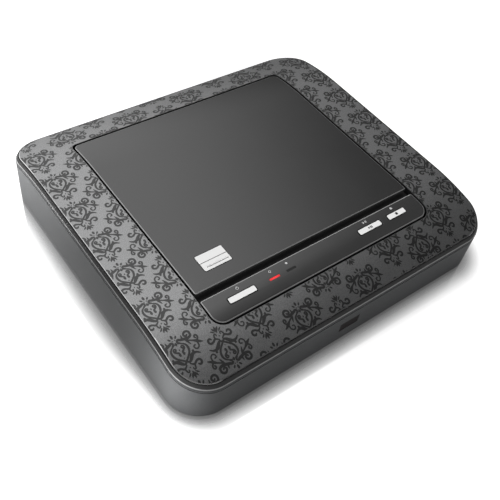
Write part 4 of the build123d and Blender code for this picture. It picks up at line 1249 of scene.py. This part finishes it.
# Floor, light and camera
# The case stands on a white floor in soft light that comes mostly from behind on the left.
# Within 17 mm of the case outline the floor turns to a mirror and loses its glow. The
# reflection in that ring is real; the ring itself is a painted contact shadow and fade. The
# camera looks down over the front left corner.
bpy.ops.mesh.primitive_plane_add(size=8)
floor = bpy.context.object
floor.name = "floor"
paper = Finish("white_floor", Roughness=0.3)
paper.set(Base_Color=paper.tint(paper.speckle(0.4), 0.76, 0.8))
seen = paper.node("ShaderNodeLightPath", {}, {}, "Is Camera Ray")
lit = paper.node("ShaderNodeEmission", {}, {"Color": grey(1), "Strength": seen * 0.55})
shader = Measure(paper, paper.shader.outputs[0])
matt = paper.node("ShaderNodeAddShader", {}, {0: shader, 1: lit})
gloss = paper.node("ShaderNodeBsdfGlossy", {}, {"Color": grey(0.95), "Roughness": 0.05})
beyond = []
for axis, half in (("X", case_half_x), ("Y", case_half_y)):
    side = paper.node("ShaderNodeSeparateXYZ", {}, {0: paper.place}, axis)
    past = paper.reckon_of("ABSOLUTE", side) - (half - case_corner)
    beyond.append(paper.reckon_of("MAXIMUM", past, 0.0))
off = paper.reckon_of("SQRT", beyond[0] * beyond[0] + beyond[1] * beyond[1]) - case_corner
# Painted contact shadow and reflection: the floor is glossy and dim close to the case outline,
# white further out.
painted_shadow_fade = paper.between(off, -1 * mm, 17 * mm, 0.9, 0.0)
mixed = paper.node("ShaderNodeMixShader", {}, {0: painted_shadow_fade, 1: matt, 2: gloss})
paper.feed(paper.tree.nodes["Material Output"].inputs[0], mixed)
floor.data.materials.append(paper.material)


class Surroundings(Finish):
    """The world's light, written in the same way as a finish."""

    def __init__(self, name):
        world = bpy.data.worlds.new(name)
        world.use_nodes = True
        bpy.context.scene.world = world
        self.tree = world.node_tree
        self.shader = self.tree.nodes["Background"]
        self.place = self.node("ShaderNodeTexCoord", {}, {}, "Generated")


studio = Surroundings("studio")
bright_side = {0: studio.place, 1: (-0.75, 0.37, 0.55)}
toward = studio.node("ShaderNodeVectorMath", {"operation": "DOT_PRODUCT"}, bright_side, "Value")
behind = studio.node("ShaderNodeSeparateXYZ", {}, {0: studio.place}, "Y")
bright = studio.between(toward, -0.02, 0.38) * studio.between(behind, -0.1, 0.35, 0.1, 1.0)
strength = studio.node("ShaderNodeMapRange", {}, {0: bright, 3: 0.12, 4: 1.38})
seen = studio.node("ShaderNodeLightPath", {}, {}, "Is Camera Ray")
level = studio.node("ShaderNodeMix", {}, {0: seen, 2: strength, 3: 1.0})
studio.set(Color=grey(1), Strength=level)

for name, place, aim_y, size, power in (
    ("rear_left_lamp", (-0.22, 0.12, 0.03), 0.12, 0.06, 0.5),
    ("front_left_lamp", (-0.165, -0.104, 0.025), -0.104, 0.03, 0.09),
    ("front_lamp", (0.05, -1.0, 0.6), 0, 0.5, 8.5),
):
    lamp = bpy.data.lights.new(name, "AREA")
    lamp.shape = "DISK"
    lamp.size, lamp.energy = size, power
    panel = bring_in(name, lamp)
    panel.location = place
    aim = Vector((0, aim_y, 0.02)) - panel.location
    panel.rotation_euler = aim.to_track_quat("-Z", "Y").to_euler()
    panel.visible_camera = False
    panel.visible_glossy = False

turn, lift, roll = math.radians(-45.0138), math.radians(49.1881), math.radians(10.9545)
back = Vector((math.sin(turn) * math.cos(lift), -math.cos(turn) * math.cos(lift), math.sin(lift)))
right = (-back).cross(Vector((0, 0, 1))).normalized()
up = right.cross(-back)
axes = (math.cos(roll) * right + math.sin(roll) * up,
        math.cos(roll) * up - math.sin(roll) * right, back)
view = bpy.data.cameras.new("camera")
view.lens = 50.746
view.sensor_width = 36
view.clip_start = 0.01
camera = bring_in("camera", view)
stand = Matrix.Translation((-0.23708, -0.24760, 0.36632))
camera.matrix_world = stand @ Matrix(axes).transposed().to_4x4()
bpy.context.scene.camera = camera
bpy.context.scene.view_settings.view_transform = "Standard"

bpy.context.view_layer.update()
